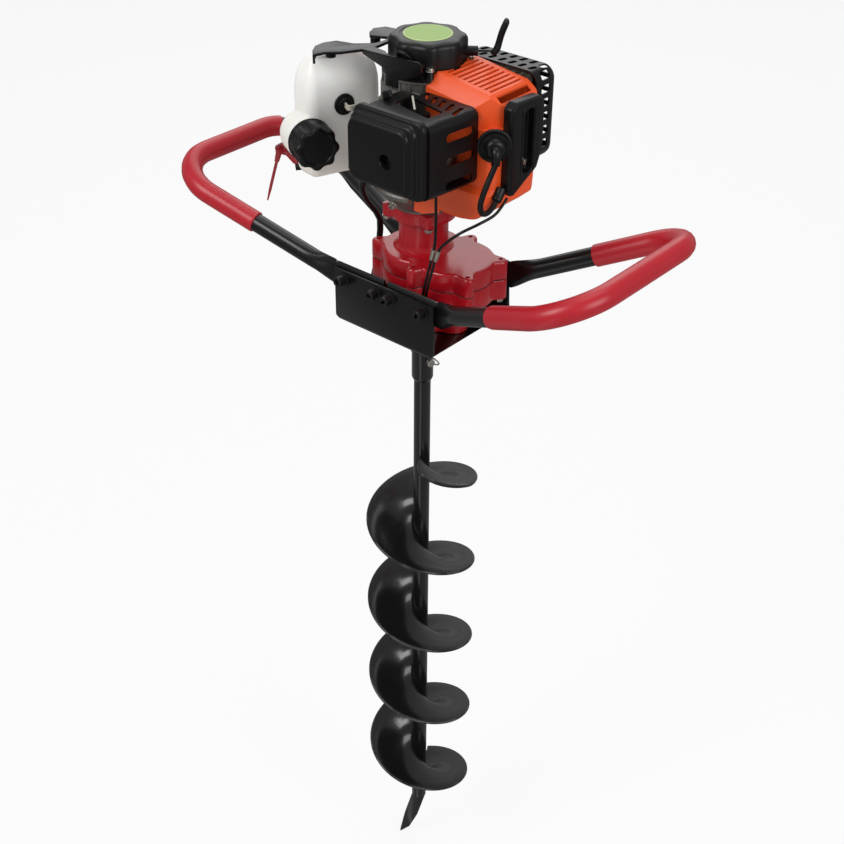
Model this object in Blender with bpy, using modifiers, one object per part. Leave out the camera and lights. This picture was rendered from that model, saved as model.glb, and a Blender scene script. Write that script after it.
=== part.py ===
"""One-man petrol earth auger: engine, reduction gearbox, handle frame and helical bit.

Frame: the drive axis is the Z axis and z = 0 is the underside of the handle bracket.
+X runs along the bracket towards the engine's cylinder, +Y towards its muffler.
All sizes are in metres.
"""
import bpy
import bmesh
from math import atan2, ceil, cos, pi, radians, sin, sqrt, tan
from mathutils import Matrix, Vector

# Fits shared by the whole machine
FIT = 0.0003
FINE = 12
ROUND = 16

# Handle bracket: a bent steel channel
BRACKET_LENGTH = 0.157
BRACKET_WIDTH = 0.1486
BRACKET_HEIGHT = 0.072
BRACKET_WALL = 0.004
BRACKET_CORNER = 0.007
BRACKET_BEND = 0.006
SHAFT_OPENING_RADIUS = 0.024

# Handles: bent tubes whose ends are pressed flat
TUBE_RADIUS = 0.0115
FLAT_THICKNESS = 0.0065
FLAT_WIDTH = 0.034
FLAT_START = 0.003
FLAT_END = 0.082
HANDLE_BOLT_HEIGHT = BRACKET_HEIGHT - 0.011
HANDLE_BOLT_INNER = 0.0115
HANDLE_BOLT_OUTER = 0.0630
HANDLE_BEND_RADIUS = 0.056
HANDLE_SHAPE = {
    "left": {"side": -1, "reach": 0.3256, "half_width": 0.1180, "rise": 0.1446},
    "right": {"side": 1, "reach": 0.3080, "half_width": 0.1360, "rise": 0.1700},
}
GRIP_WALL = 0.0017
GRIP_SPAN = {"left": (0.201, 0.500), "right": (0.185, 0.667)}

# Bolts through the bracket and the handle ends
BOLT_RADIUS = 0.0040
BOLT_HEAD_RADIUS = 0.0068
BOLT_HEAD_LENGTH = 0.0080
WASHER_RADIUS = 0.0086
WASHER_THICKNESS = 0.0016
NUT_RADIUS = 0.0072
NUT_LENGTH = 0.0062

# Gearbox housings
GEAR_CENTRES = 0.048
HOUSING_BASE = BRACKET_WALL + FIT
BOSS_BASE = HOUSING_BASE + 0.0457
PARTING = BOSS_BASE + 0.026
GASKET = 0.0008
HOUSING_TOP = PARTING + 0.025
HOUSING_WALL = 0.005
MAIN_RADIUS = 0.050
REAR_RADIUS = 0.049
FOOT_RADIUS = 0.0475
FOOT_REAR_RADIUS = 0.0185
FOOT_WALL = 0.0045
BOSS_RADIUS = 0.0088
BOSS_PLACES = [
    (-0.051, -0.024), (-0.051, 0.024),
    (0.030, -0.053), (0.030, 0.053),
    (0.094, -0.031), (0.094, 0.031),
]
CASE_BOLT_RADIUS = 0.0025
CASE_BOLT_HEAD_RADIUS = 0.0048
CASE_BOLT_HEAD_LENGTH = 0.0050
NECK_RADIUS = 0.0298
NECK_TOP = HOUSING_TOP + 0.042
FLANGE_RADIUS = 0.0395
FLANGE_TOP = NECK_TOP + 0.015
DRUM_BORE_RADIUS = 0.0265
DRUM_FLOOR = HOUSING_TOP + 0.009
CASE_EDGE = 0.0016
FLANGE_POINTS = 48
ROOM_POINTS = 24

# Reduction gears: two stages with the same pair of wheels
GEAR_MODULE = 0.002
WHEEL_TEETH = 40
PINION_TEETH = 8
TOOTH_TIP = 0.0012
TOOTH_ROOT = 0.0017
TOOTH_TIP_WIDTH = 0.0014
TOOTH_ROOT_WIDTH = 0.0034
OUTPUT_WHEEL_BASE = HOUSING_BASE + 0.0177
WHEEL_WIDTH = 0.010
COUNTER_WHEEL_BASE = PARTING - 0.014
PINION_OVERHANG = 0.002
COUNTER_SHAFT_RADIUS = 0.005
INPUT_SHAFT_RADIUS = 0.006
OUTPUT_SHAFT_RADIUS = 0.010
OUTPUT_SHAFT_BOTTOM = -0.072
BEARING_WIDTH = 0.009
OUTPUT_BEARING_RADIUS = 0.018
INPUT_BEARING_RADIUS = 0.0135

# Clutch
DRUM_RADIUS = 0.0255
DRUM_WALL = 0.0022
DRUM_TOP = DRUM_FLOOR + 0.040
SHOE_RADIUS = 0.0223
SHOE_BASE = DRUM_FLOOR + 0.009
SHOE_TOP = DRUM_TOP - 0.004

# Auger bit
BIT_RADIUS = 0.075
BIT_TUBE_RADIUS = 0.0108
SLEEVE_RADIUS = 0.0138
SLEEVE_TOP = -0.004
SLEEVE_BOTTOM = -0.085
SOCKET_DEPTH = 0.072
BIT_TUBE_BOTTOM = -0.862
FLIGHT_PITCH = 0.14025
FLIGHT_TOP = -0.2025
FLIGHT_TURNS = 4.5
FLIGHT_START_ANGLE = radians(-60)
FLIGHT_THICKNESS = 0.004
FLIGHT_LEAD_IN = radians(70)
POINT_LENGTH = 0.085
POINT_WIDTH = 0.020
POINT_THICKNESS = 0.006
POINT_LEAN = 0.022
POINT_DIRECTION = radians(220)
HITCH_PIN_HEIGHT = -0.058
HITCH_PIN_RADIUS = 0.0038
HITCH_PIN_ANGLE = radians(-15)

# Crankcase and crankshaft
CASE_BASE = FLANGE_TOP + FIT
DISH_RADIUS = 0.060
DISH_HEIGHT = 0.0285
DISH_CUT = 0.0225
DISH_CORE = 0.044
DISH_TOP = CASE_BASE + DISH_HEIGHT
BLOCK_BACK = -0.0435
BLOCK_FRONT = 0.032
BLOCK_HALF_WIDTH = 0.038
CRANK_HEIGHT = FLANGE_TOP + 0.090
FAN_CASE_RADIUS = 0.050
FAN_CASE_BASE = CRANK_HEIGHT + 0.0355
FAN_CASE_TOP = FAN_CASE_BASE + 0.0225
FAN_CASE_WALL = 0.004
FAN_FLOOR = FAN_CASE_BASE + 0.0035
CRANK_WEB_RADIUS = 0.028
CRANK_WEB_WIDTH = 0.009
CRANK_THROW = 0.013
CRANK_PIN_RADIUS = 0.005
CRANK_PIN_LENGTH = 0.010
CRANK_SHAFT_RADIUS = 0.006
CRANK_BOTTOM = DRUM_FLOOR + 0.007
CRANK_TOP = FAN_CASE_TOP - 0.005
FLYWHEEL_RADIUS = 0.042
FLYWHEEL_BASE = FAN_FLOOR + 0.0025
FLYWHEEL_HEIGHT = 0.015
FLYWHEEL_BLADES = 8

# Cylinder
BARREL_RADIUS = 0.025
FIN_RADIUS = 0.034
FIN_PITCH = 0.0128
FIN_START = 0.0445
FIN_THICKNESS = 0.0035
FIN_COUNT = 5
HEAD_END = FIN_START + FIN_PITCH * FIN_COUNT + 0.005
BORE_RADIUS = 0.0195
HEAD_LENGTH = 0.014

# Engine shroud: (height over the crank, x0, x1, y0, y1) of its outline at each level
SHROUD_LEVELS = [
    (-0.0700, 0.056, 0.092, -0.042, 0.043),
    (-0.0640, 0.050, 0.112, -0.047, 0.045),
    (-0.0510, 0.050, 0.127, -0.047, 0.045),
    (-0.0470, 0.035, 0.128, -0.047, 0.045),
    (-0.0320, 0.035, 0.129, -0.047, 0.045),
    (-0.0270, 0.035, 0.129, -0.038, 0.045),
    (0.0410, 0.035, 0.129, -0.038, 0.045),
    (0.0420, 0.026, 0.129, -0.038, 0.045),
]
SHROUD_ROOF = (0.032, 0.129, -0.025, 0.043)
SHROUD_CHEEK = [(0.0250, -0.0785), (0.0380, -0.0785), (0.0600, -0.0700), (0.0600, -0.0242), (0.0250, -0.0242)]
ROOF_HEIGHT = FAN_CASE_TOP + 0.0273
ROOF_SLOPE = -0.126
ROOF_EDGE = 0.0150
ROOF_FACET = (0.1120, 0.75)
SHROUD_CHAMFER = (0.028, 0.023)
CHAMFER_BASE = CRANK_HEIGHT + 0.040
SHROUD_WALL = 0.0025
SHROUD_CORNER = 0.010
GRILLE_SLOTS = 10
GRILLE_PITCH = 0.0074
GRILLE_SLOT = 0.0034
GRILLE_START = 0.0385
GRILLE_FRONT = -0.018
GRILLE_BACK = 0.036
INTAKE_RADIUS = 0.010
EXHAUST_RADIUS = 0.011
PORT_X = 0.070

# Muffler and its guard
GUARD_LOW = (0.019, 0.0465, CRANK_HEIGHT - 0.024)
GUARD_HIGH = (0.1215, 0.084, CRANK_HEIGHT + 0.083)
GUARD_WALL = 0.002
GUARD_CORNER = 0.014
MUFFLER_MARGIN = 0.006

# Spark plug side
PLUG_AXIS = radians(-45)
BOOT_CENTRE = (0.1320, -0.0398, CRANK_HEIGHT + 0.0294)
BOOT_RADIUS = 0.0190
LEAD_RADIUS = 0.0030
END_GUARD_LOW = (0.1293, -0.022, CRANK_HEIGHT - 0.038)
END_GUARD_HIGH = (0.1425, 0.036, CRANK_HEIGHT + 0.070)

# Air filter and carburettor
AIR_LOW = (0.004, -0.111, CRANK_HEIGHT - 0.0235)
AIR_HIGH = (0.102, -0.0385, CRANK_HEIGHT + 0.064)
AIR_WALL = 0.0024
AIR_CORNER = 0.010
AIR_NOTCH = (0.036, -0.052)
FILTER_STEPS = [
    # depth in front of the housing, inset from its outline
    (0.0003, 0.0000), (0.0070, 0.0000), (0.0085, 0.0035), (0.0130, 0.0040),
    (0.0145, 0.0085), (0.0185, 0.0095),
]
FILTER_HOLE_RADIUS = 0.0080
CARB_LOW = (0.048, -0.090, CRANK_HEIGHT - 0.0205)
CARB_HIGH = (0.090, -0.058, CRANK_HEIGHT + 0.014)
CHOKE_PIVOT = (0.030, -0.083, AIR_HIGH[2] - 0.022)

# Fuel tank
TANK_PLAN = [
    (-0.1265, -0.0900), (-0.0870, -0.0970), (-0.0605, -0.0220), (-0.0600, 0.0080), (-0.1120, -0.0240),
]
TANK_BASE = FLANGE_TOP + 0.030
TANK_TOP = TANK_BASE + 0.142
TANK_CORNER = 0.014
FILLER_AXIS = radians(-27)
FILLER_FACE = (-0.0622, -0.1108, TANK_BASE + 0.0516)
FILLER_RADIUS = 0.0268
FILLER_LENGTH = 0.046
NECK_FIT_RADIUS = 0.0185
CAP_RADIUS = 0.0255
CAP_LOBE = 0.0013
CAP_LOBES = 8
CAP_LENGTH = 0.0235
GROMMET_ALONG = 0.54
GROMMET_HEIGHT = TANK_BASE + 0.0875
GROMMET_DEPTH = 0.0048
FUEL_LINE_RADIUS = 0.0022

# Starter
STARTER_RADIUS = 0.0430
STARTER_LOBE = 0.0016
STARTER_TOP = FAN_CASE_TOP + 0.054
STARTER_WALL = 0.0025
STARTER_FLANGE = 0.0040
LABEL_RADIUS = 0.0278
SPOUT_ANGLE = radians(38)
SPOUT_HEIGHT = STARTER_TOP - 0.019
SPOUT_REACH = 0.070
SPOUT_RADIUS = 0.0062
ROPE_RADIUS = 0.0015
GRIP_BASE_RADIUS = 0.0065

# Tank guard
STAND_PAD = 0.010
STAND_PLATE_BASE = TANK_TOP + STAND_PAD
STAND_PLATE_TOP = STAND_PLATE_BASE + 0.003
STAND_FRONT = -0.050
STAND_SKIRT = 0.0025
STAND_FOOT = (-0.014, 0.002)
TANK_PADS = [(-0.084, -0.064), (-0.071, -0.004)]

# Throttle, on the left handle; places are (along the bar, up) from the strap's centre
THROTTLE_STATION = 0.5205
STRAP_WALL = 0.003
STRAP_WIDTH = 0.012
LUG_THICKNESS = 0.008
LUG_TOP = -0.0136
LUG_BOTTOM = -0.0500
LUG_OUTLINE = [
    (-0.005, LUG_TOP), (-0.020, -0.0220), (-0.0295, -0.0270), (-0.0285, -0.0345), (-0.015, -0.0380),
    (-0.005, LUG_BOTTOM), (0.005, LUG_BOTTOM), (0.007, -0.0300), (0.005, LUG_TOP),
]
LEVER_PIVOT = (-0.0235, -0.0300)
LEVER_PIN_RADIUS = 0.0020
LEVER_LENGTH = 0.076
LEVER_SLANT = radians(15)
LEVER_WIDTH = 0.0085
LEVER_THICKNESS = 0.0040
EAR_THICKNESS = 0.0022

# Cables
CABLE_RADIUS = 0.0040
WIRE_RADIUS = 0.0016
LOOM_RADIUS = 0.0040

model = bpy.data.collections.new("earth_auger")
tools = bpy.data.collections.new("cutters")


def clear_scene():
    for item in list(bpy.data.objects):
        bpy.data.objects.remove(item, do_unlink=True)
    bpy.context.scene.collection.children.link(model)
    bpy.context.scene.collection.children.link(tools)


def paint(name, colour, roughness, metallic=0.0):
    material = bpy.data.materials.new(name)
    material.use_nodes = True
    shader = material.node_tree.nodes["Principled BSDF"]
    shader.inputs["Base Color"].default_value = (*colour, 1.0)
    shader.inputs["Roughness"].default_value = roughness
    shader.inputs["Metallic"].default_value = metallic
    return material


def add_object(name, bm, material, collection=model, smooth=radians(32)):
    """Put a bmesh into a new object with its faces pointing out."""
    bmesh.ops.recalc_face_normals(bm, faces=bm.faces)
    mesh = bpy.data.meshes.new(name)
    bm.to_mesh(mesh)
    bm.free()
    mesh.shade_smooth()
    mesh.set_sharp_from_angle(angle=smooth)
    item = bpy.data.objects.new(name, mesh)
    if material:
        mesh.materials.append(material)
    collection.objects.link(item)
    return item


def place(item, location=(0, 0, 0), direction=(0, 0, 1), spin=0.0):
    """Stand an object's own Z axis along a direction, at a location."""
    turn = Vector((0, 0, 1)).rotation_difference(Vector(direction)).to_matrix().to_4x4()
    item.matrix_world = Matrix.Translation(location) @ turn @ Matrix.Rotation(spin, 4, "Z")
    return item


def solid_rings(bm, rings, cap_first=True, cap_last=True):
    """Skin a list of rings of points, each with the same count, and cap the ends."""
    loops = [[bm.verts.new(point) for point in ring] for ring in rings]
    for lower, upper in zip(loops, loops[1:]):
        count = len(lower)
        for i in range(count):
            j = (i + 1) % count
            bm.faces.new((lower[i], lower[j], upper[j], upper[i]))
    if cap_first:
        bm.faces.new(list(reversed(loops[0])))
    if cap_last:
        bm.faces.new(loops[-1])
    return loops


def loft(name, rings, material, collection=model):
    bm = bmesh.new()
    solid_rings(bm, rings)
    return add_object(name, bm, material, collection)


def cup(name, outer, inner, material, collection=model):
    """A shell between two lofts: both start at the open rim and end at the closed side."""
    bm = bmesh.new()
    shell = solid_rings(bm, outer, cap_first=False)
    lining = solid_rings(bm, inner, cap_first=False)
    rim, lip = shell[0], lining[0]
    for i in range(len(rim)):
        j = (i + 1) % len(rim)
        bm.faces.new((rim[i], lip[i], lip[j], rim[j]))
    return add_object(name, bm, material, collection)


def pipe(name, outer, inner, material, collection=model):
    """A sleeve between two sets of rings, open at both ends."""
    bm = bmesh.new()
    shell = solid_rings(bm, outer, False, False)
    lining = solid_rings(bm, inner, False, False)
    for end in (0, -1):
        rim, lip = shell[end], lining[end]
        for i in range(len(rim)):
            j = (i + 1) % len(rim)
            bm.faces.new((rim[i], lip[i], lip[j], rim[j]))
    return add_object(name, bm, material, collection)


def prism(name, outline, z0, z1, material, edge=0.0, collection=model):
    """An outline raised from z0 to z1, its top edge chamfered."""
    bm = bmesh.new()
    face = bm.faces.new([bm.verts.new((x, y, z0)) for x, y in outline])
    raised = bmesh.ops.extrude_face_region(bm, geom=[face])["geom"]
    lid = [part for part in raised if isinstance(part, bmesh.types.BMVert)]
    bmesh.ops.translate(bm, verts=lid, vec=(0, 0, z1 - z0))
    if edge:
        rim = [e for e in bm.edges if all(v in lid for v in e.verts)]
        bmesh.ops.bevel(bm, geom=rim, offset=edge, segments=1, affect="EDGES")
    return add_object(name, bm, material, collection)


def upright(item, y):
    """Stand an outline that was drawn in X and Z on its edge, its thickness running along +Y."""
    item.data.transform(Matrix(((1, 0, 0, 0), (0, 0, 1, y), (0, 1, 0, 0), (0, 0, 0, 1))))
    item.data.flip_normals()
    return item


def block(name, low, high, material, edge=0.0, segments=1, collection=model):
    bm = bmesh.new()
    bmesh.ops.create_cube(bm, size=1.0)
    size = Vector(high) - Vector(low)
    middle = (Vector(high) + Vector(low)) / 2
    bmesh.ops.scale(bm, vec=size, verts=bm.verts)
    bmesh.ops.translate(bm, vec=middle, verts=bm.verts)
    if edge:
        bmesh.ops.bevel(bm, geom=bm.edges, offset=edge, segments=segments, affect="EDGES")
    return add_object(name, bm, material, collection)


def rod(name, start, end, radius, material, segments=FINE, collection=model):
    start, end = Vector(start), Vector(end)
    bm = bmesh.new()
    bmesh.ops.create_cone(
        bm, cap_ends=True, segments=segments, radius1=radius, radius2=radius,
        depth=(end - start).length,
    )
    item = add_object(name, bm, material, collection)
    return place(item, (start + end) / 2, end - start)


def turned(name, profile, material, segments=ROUND, collection=model):
    """Turn a profile of (radius, height) points round the object's own Z axis."""
    area = 0.0
    for (r0, z0), (r1, z1) in zip(profile, profile[1:] + profile[:1]):
        area += r0 * z1 - r1 * z0
    points = profile if area < 0 else profile[::-1]
    bm = bmesh.new()
    verts = [bm.verts.new((r, 0, z)) for r, z in points]
    for a, b in zip(verts, verts[1:] + verts[:1]):
        if a.co.x > 0 or b.co.x > 0:
            bm.edges.new((a, b))
    mesh = bpy.data.meshes.new(name)
    bm.to_mesh(mesh)
    bm.free()
    item = bpy.data.objects.new(name, mesh)
    if material:
        mesh.materials.append(material)
    collection.objects.link(item)
    screw = item.modifiers.new("turn", "SCREW")
    screw.steps = segments
    screw.render_steps = segments
    screw.use_merge_vertices = True
    screw.merge_threshold = 0.00001
    return item


def tube_profile(inner, outer, z0, z1):
    return [(inner, z0), (outer, z0), (outer, z1), (inner, z1)]


def combine(item, other, operation="DIFFERENCE"):
    """Cut another shape from an object, or join it on."""
    for home in list(other.users_collection):
        home.objects.unlink(other)
    tools.objects.link(other)
    other.hide_render = True
    other.display_type = "WIRE"
    change = item.modifiers.new(operation.lower(), "BOOLEAN")
    change.operation = operation
    change.solver = "EXACT"
    change.object = other
    return item


def carry(item, transform):
    """Move an object together with the shapes that cut it or join it."""
    bpy.context.view_layer.update()
    for shape in [item] + [change.object for change in item.modifiers if change.type == "BOOLEAN"]:
        shape.matrix_world = transform @ shape.matrix_world
    return item


def join(item, other):
    return combine(item, other, "UNION")


def drill(item, start, end, radius, segments=FINE):
    return combine(item, rod("drill", start, end, radius, None, segments))


def many_blocks(name, boxes):
    """One cutter made of separate boxes."""
    bm = bmesh.new()
    for low, high in boxes:
        made = bmesh.ops.create_cube(bm, size=1.0)["verts"]
        bmesh.ops.scale(bm, vec=Vector(high) - Vector(low), verts=made)
        bmesh.ops.translate(bm, vec=(Vector(high) + Vector(low)) / 2, verts=made)
    return add_object(name, bm, None, tools)


def many_rods(name, places, z0, z1, radius, segments=6):
    """One cutter made of separate upright pins."""
    bm = bmesh.new()
    for x, y in places:
        made = bmesh.ops.create_cone(
            bm, cap_ends=True, segments=segments, radius1=radius, radius2=radius, depth=z1 - z0,
            matrix=Matrix.Rotation(pi / 2, 4, "Z"),
        )["verts"]
        bmesh.ops.translate(bm, vec=(x, y, (z0 + z1) / 2), verts=made)
    return add_object(name, bm, None, tools)


def round_rect(x0, x1, y0, y1, corner, steps=3):
    """A rectangle with round corners, anticlockwise from the +X, -Y corner."""
    points = []
    for cx, cy, start in (
        (x1 - corner, y0 + corner, -90), (x1 - corner, y1 - corner, 0),
        (x0 + corner, y1 - corner, 90), (x0 + corner, y0 + corner, 180),
    ):
        for step in range(steps + 1):
            a = radians(start + 90 * step / steps)
            points.append((cx + corner * cos(a), cy + corner * sin(a)))
    return points


def round_polygon(corners, radius, steps=3):
    """A polygon, anticlockwise, with each corner rounded by an arc."""
    points = []
    count = len(corners)
    for i in range(count):
        here = Vector(corners[i])
        before = (Vector(corners[i - 1]) - here).normalized()
        after = (Vector(corners[(i + 1) % count]) - here).normalized()
        half = before.angle(after) / 2
        centre = here + (before + after).normalized() * radius / sin(half)
        first = here + before * radius / tan(half) - centre
        last = here + after * radius / tan(half) - centre
        a0 = atan2(first.y, first.x)
        sweep = atan2(last.y, last.x) - a0
        sweep = (sweep + pi) % (2 * pi) - pi
        for step in range(steps + 1):
            a = a0 + sweep * step / steps
            points.append((centre.x + radius * cos(a), centre.y + radius * sin(a)))
    return points


def inset(outline, distance):
    """Move every side of a convex, anticlockwise outline inwards."""
    points = []
    count = len(outline)
    for i in range(count):
        before, here, after = outline[i - 1], outline[i], outline[(i + 1) % count]
        a = (Vector(here) - Vector(before)).normalized()
        b = (Vector(after) - Vector(here)).normalized()
        normal = Vector((-a.y - b.y, a.x + b.x)).normalized()
        stretch = max(0.5, normal.dot(Vector((-a.y, a.x))))
        points.append((here[0] + normal.x * distance / stretch, here[1] + normal.y * distance / stretch))
    return points


def disc_outline(centre, discs, count=60):
    """The outer edge of a group of discs, as rays from a centre meet it."""
    points = []
    for i in range(count):
        a = 2 * pi * i / count
        d = Vector((cos(a), sin(a)))
        reach = 0.0
        for x, y, radius in discs:
            to = Vector((x, y)) - Vector(centre)
            along = to.dot(d)
            off = to.length_squared - along * along
            if off < radius * radius and along + sqrt(radius * radius - off) > reach:
                reach = along + sqrt(radius * radius - off)
        points.append((centre[0] + d.x * reach, centre[1] + d.y * reach))
    return points


def at_height(outline, z):
    return [Vector((x, y, z)) for x, y in outline]


def lobed(radius, lobe, lobes, count, phase=0.0):
    points = []
    for i in range(count):
        a = 2 * pi * i / count
        r = radius + lobe * cos(lobes * a + phase)
        points.append((r * cos(a), r * sin(a)))
    return points


def gear_outline(teeth, radius, phase):
    points = []
    for k in range(teeth):
        centre = phase + 2 * pi * k / teeth
        for r, width, sign in (
            (radius - TOOTH_ROOT, TOOTH_ROOT_WIDTH, -1), (radius + TOOTH_TIP, TOOTH_TIP_WIDTH, -1),
            (radius + TOOTH_TIP, TOOTH_TIP_WIDTH, 1), (radius - TOOTH_ROOT, TOOTH_ROOT_WIDTH, 1),
        ):
            a = centre + sign * width / 2 / r
            points.append((r * cos(a), r * sin(a)))
    return points


def smooth_route(points, spacing):
    """Points along a smooth curve through a route's own points."""
    route = [Vector(p) for p in points]
    padded = [route[0] * 2 - route[1]] + route + [route[-1] * 2 - route[-2]]
    out = [route[0]]
    for i in range(1, len(padded) - 2):
        p0, p1, p2, p3 = padded[i - 1:i + 3]
        steps = max(1, ceil((p2 - p1).length / spacing))
        for step in range(1, steps + 1):
            t = step / steps
            out.append(0.5 * (
                2 * p1 + (p2 - p0) * t + (2 * p0 - 5 * p1 + 4 * p2 - p3) * t * t
                + (3 * p1 - p0 - 3 * p2 + p3) * t ** 3
            ))
    return out


def wire(name, points, radius, material, spacing=0.012, collection=model):
    """A round wire along a smooth route."""
    curve = bpy.data.curves.new(name, "CURVE")
    curve.dimensions = "3D"
    curve.bevel_depth = radius
    curve.bevel_resolution = 2
    curve.use_fill_caps = True
    route = smooth_route(points, spacing)
    spline = curve.splines.new("POLY")
    spline.points.add(len(route) - 1)
    for point, co in zip(spline.points, route):
        point.co = (*co, 1.0)
    item = bpy.data.objects.new(name, curve)
    if material:
        curve.materials.append(material)
    collection.objects.link(item)
    return item


def as_mesh(item):
    """Turn a curve object into a mesh whose caps are welded, so that it can be cut or joined."""
    evaluated = item.evaluated_get(bpy.context.evaluated_depsgraph_get())
    mesh = bpy.data.meshes.new_from_object(evaluated)
    bm = bmesh.new()
    bm.from_mesh(mesh)
    bmesh.ops.remove_doubles(bm, verts=bm.verts, dist=0.00001)
    bm.to_mesh(mesh)
    bm.free()
    solid = bpy.data.objects.new(item.name + "_solid", mesh)
    solid.matrix_world = item.matrix_world
    name = item.name
    home = item.users_collection[0]
    bpy.data.objects.remove(item, do_unlink=True)
    solid.name = name
    home.objects.link(solid)
    return solid


# Paints and bare metals

black_paint = paint("black_paint", (0.012, 0.012, 0.013), 0.32)
red_paint = paint("red_paint", (0.42, 0.012, 0.018), 0.25)
red_grip = paint("red_grip", (0.55, 0.020, 0.030), 0.42)
orange_plastic = paint("orange_plastic", (0.80, 0.090, 0.010), 0.38)
black_plastic = paint("black_plastic", (0.010, 0.010, 0.011), 0.45)
black_rubber = paint("black_rubber", (0.010, 0.010, 0.010), 0.65)
white_plastic = paint("white_plastic", (0.72, 0.70, 0.65), 0.35)
clear_hose = paint("clear_hose", (0.55, 0.55, 0.52), 0.20)
cast_aluminium = paint("cast_aluminium", (0.36, 0.36, 0.37), 0.50, 0.9)
bright_steel = paint("bright_steel", (0.60, 0.60, 0.58), 0.30, 1.0)
black_steel = paint("black_steel", (0.018, 0.018, 0.019), 0.35, 0.5)
gasket_paper = paint("gasket_paper", (0.020, 0.018, 0.018), 0.80)
label_green = paint("label_green", (0.42, 0.66, 0.25), 0.45)


# Handle bracket

def side_bolt_places():
    """(x, side of y) of the eight bolts along the tops of the two side plates."""
    across = (-HANDLE_BOLT_OUTER, -HANDLE_BOLT_INNER, HANDLE_BOLT_INNER, HANDLE_BOLT_OUTER)
    return [(x, side) for side in (-1, 1) for x in across]


def make_bracket():
    """Steel channel: bent up along both sides, its lower corners cut off at the ends."""
    half_length, half_width = BRACKET_LENGTH / 2, BRACKET_WIDTH / 2
    inner = half_width - BRACKET_WALL
    bend = BRACKET_BEND
    section = [
        (half_width, BRACKET_HEIGHT), (half_width, bend), (half_width - bend * 0.3, bend * 0.3),
        (half_width - bend, 0), (bend - half_width, 0), (bend * 0.3 - half_width, bend * 0.3),
        (-half_width, bend), (-half_width, BRACKET_HEIGHT), (-inner, BRACKET_HEIGHT), (-inner, BRACKET_WALL),
        (inner, BRACKET_WALL), (inner, BRACKET_HEIGHT),
    ]
    item = loft("bracket", [[Vector((x, y, z)) for y, z in section] for x in (-half_length, half_length)],
                black_paint)
    for end in (-1, 1):
        x = end * half_length
        beyond = 0.001
        corner = prism("corner", [
            (x - end * (BRACKET_CORNER + beyond), -beyond), (x + end * beyond, -beyond),
            (x + end * beyond, BRACKET_CORNER + beyond),
        ], 0, BRACKET_WIDTH * 2, None)
        combine(item, upright(corner, -BRACKET_WIDTH))
    drill(item, (0, 0, -0.01), (0, 0, 0.01), SHAFT_OPENING_RADIUS, ROUND)
    for x in (-HANDLE_BOLT_OUTER, -HANDLE_BOLT_INNER, HANDLE_BOLT_INNER, HANDLE_BOLT_OUTER):
        drill(item, (x, -1, HANDLE_BOLT_HEIGHT), (x, 1, HANDLE_BOLT_HEIGHT), BOLT_RADIUS + FIT, 10)
    return item


# Handles

FLAT_Y = BRACKET_WIDTH / 2 - BRACKET_WALL - FIT - FLAT_THICKNESS / 2


def handle_route(shape):
    """Centre points of a handle's front half, from its flat end to the middle of the outer bar."""
    side = shape["side"]
    leave = Vector((FLAT_END, -FLAT_Y, HANDLE_BOLT_HEIGHT))
    corner = Vector((shape["reach"], -shape["half_width"], shape["rise"]))
    middle = Vector((shape["reach"], 0, shape["rise"]))
    back, on = (leave - corner).normalized(), (middle - corner).normalized()
    half = back.angle(on) / 2
    centre = corner + (back + on).normalized() * HANDLE_BEND_RADIUS / sin(half)
    first = corner + back * HANDLE_BEND_RADIUS / tan(half) - centre
    normal = first.cross(corner + on * HANDLE_BEND_RADIUS / tan(half) - centre).normalized()
    sweep = pi - 2 * half
    route = [Vector((FLAT_START, -FLAT_Y, HANDLE_BOLT_HEIGHT)), leave]
    run = (centre + first - leave)
    for share in (0.09, 0.18, 0.55):
        route.append(leave + run * share)
    steps = 5
    for step in range(steps + 1):
        route.append(centre + Matrix.Rotation(sweep * step / steps, 3, normal) @ first)
    route.append(middle)
    return [Vector((p.x * side, p.y, p.z)) for p in route]


def full_route(shape):
    front = handle_route(shape)
    back = [Vector((p.x, -p.y, p.z)) for p in reversed(front[:-1])]
    return front + back


def flatness(index, count):
    """How far a ring is pressed flat: 1 at the bolted end, 0 along the round tube."""
    from_end = min(index, count - 1 - index)
    return {0: 1.0, 1: 1.0, 2: 0.45}.get(from_end, 0.0)


def handle_rings(shape, extra=0.0, first=0, last=None, segments=10, plain=False):
    route = full_route(shape)
    count = len(route)
    rings = []
    for i in range(first, count if last is None else last):
        here = route[i]
        tangent = (route[min(i + 1, count - 1)] - route[max(i - 1, 0)]).normalized()
        across = tangent.cross(Vector((0, 0, 1))).normalized()
        up = across.cross(tangent).normalized()
        flat = 0.0 if plain else flatness(i, count)
        wide = (TUBE_RADIUS + extra) * (1 - flat) + FLAT_WIDTH / 2 * flat
        thin = (TUBE_RADIUS + extra) * (1 - flat) + FLAT_THICKNESS / 2 * flat
        ring = []
        for k in range(segments):
            a = 2 * pi * (k + 0.5) / segments
            c, s = cos(a), sin(a)
            square = 1.0 + 0.30 * flat * abs(c) * abs(s) * 2
            ring.append(here + across * thin * min(1.0, abs(c) * square) * (1 if c > 0 else -1)
                        + up * wide * min(1.0, abs(s) * square) * (1 if s > 0 else -1))
        rings.append(ring)
    return rings


def station(shape, distance):
    """Point and direction at a distance along a handle."""
    route = full_route(shape)
    for a, b in zip(route, route[1:]):
        span = (b - a).length
        if distance <= span:
            return a + (b - a) * distance / span, (b - a).normalized()
        distance -= span
    return route[-1], (route[-1] - route[-2]).normalized()


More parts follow.
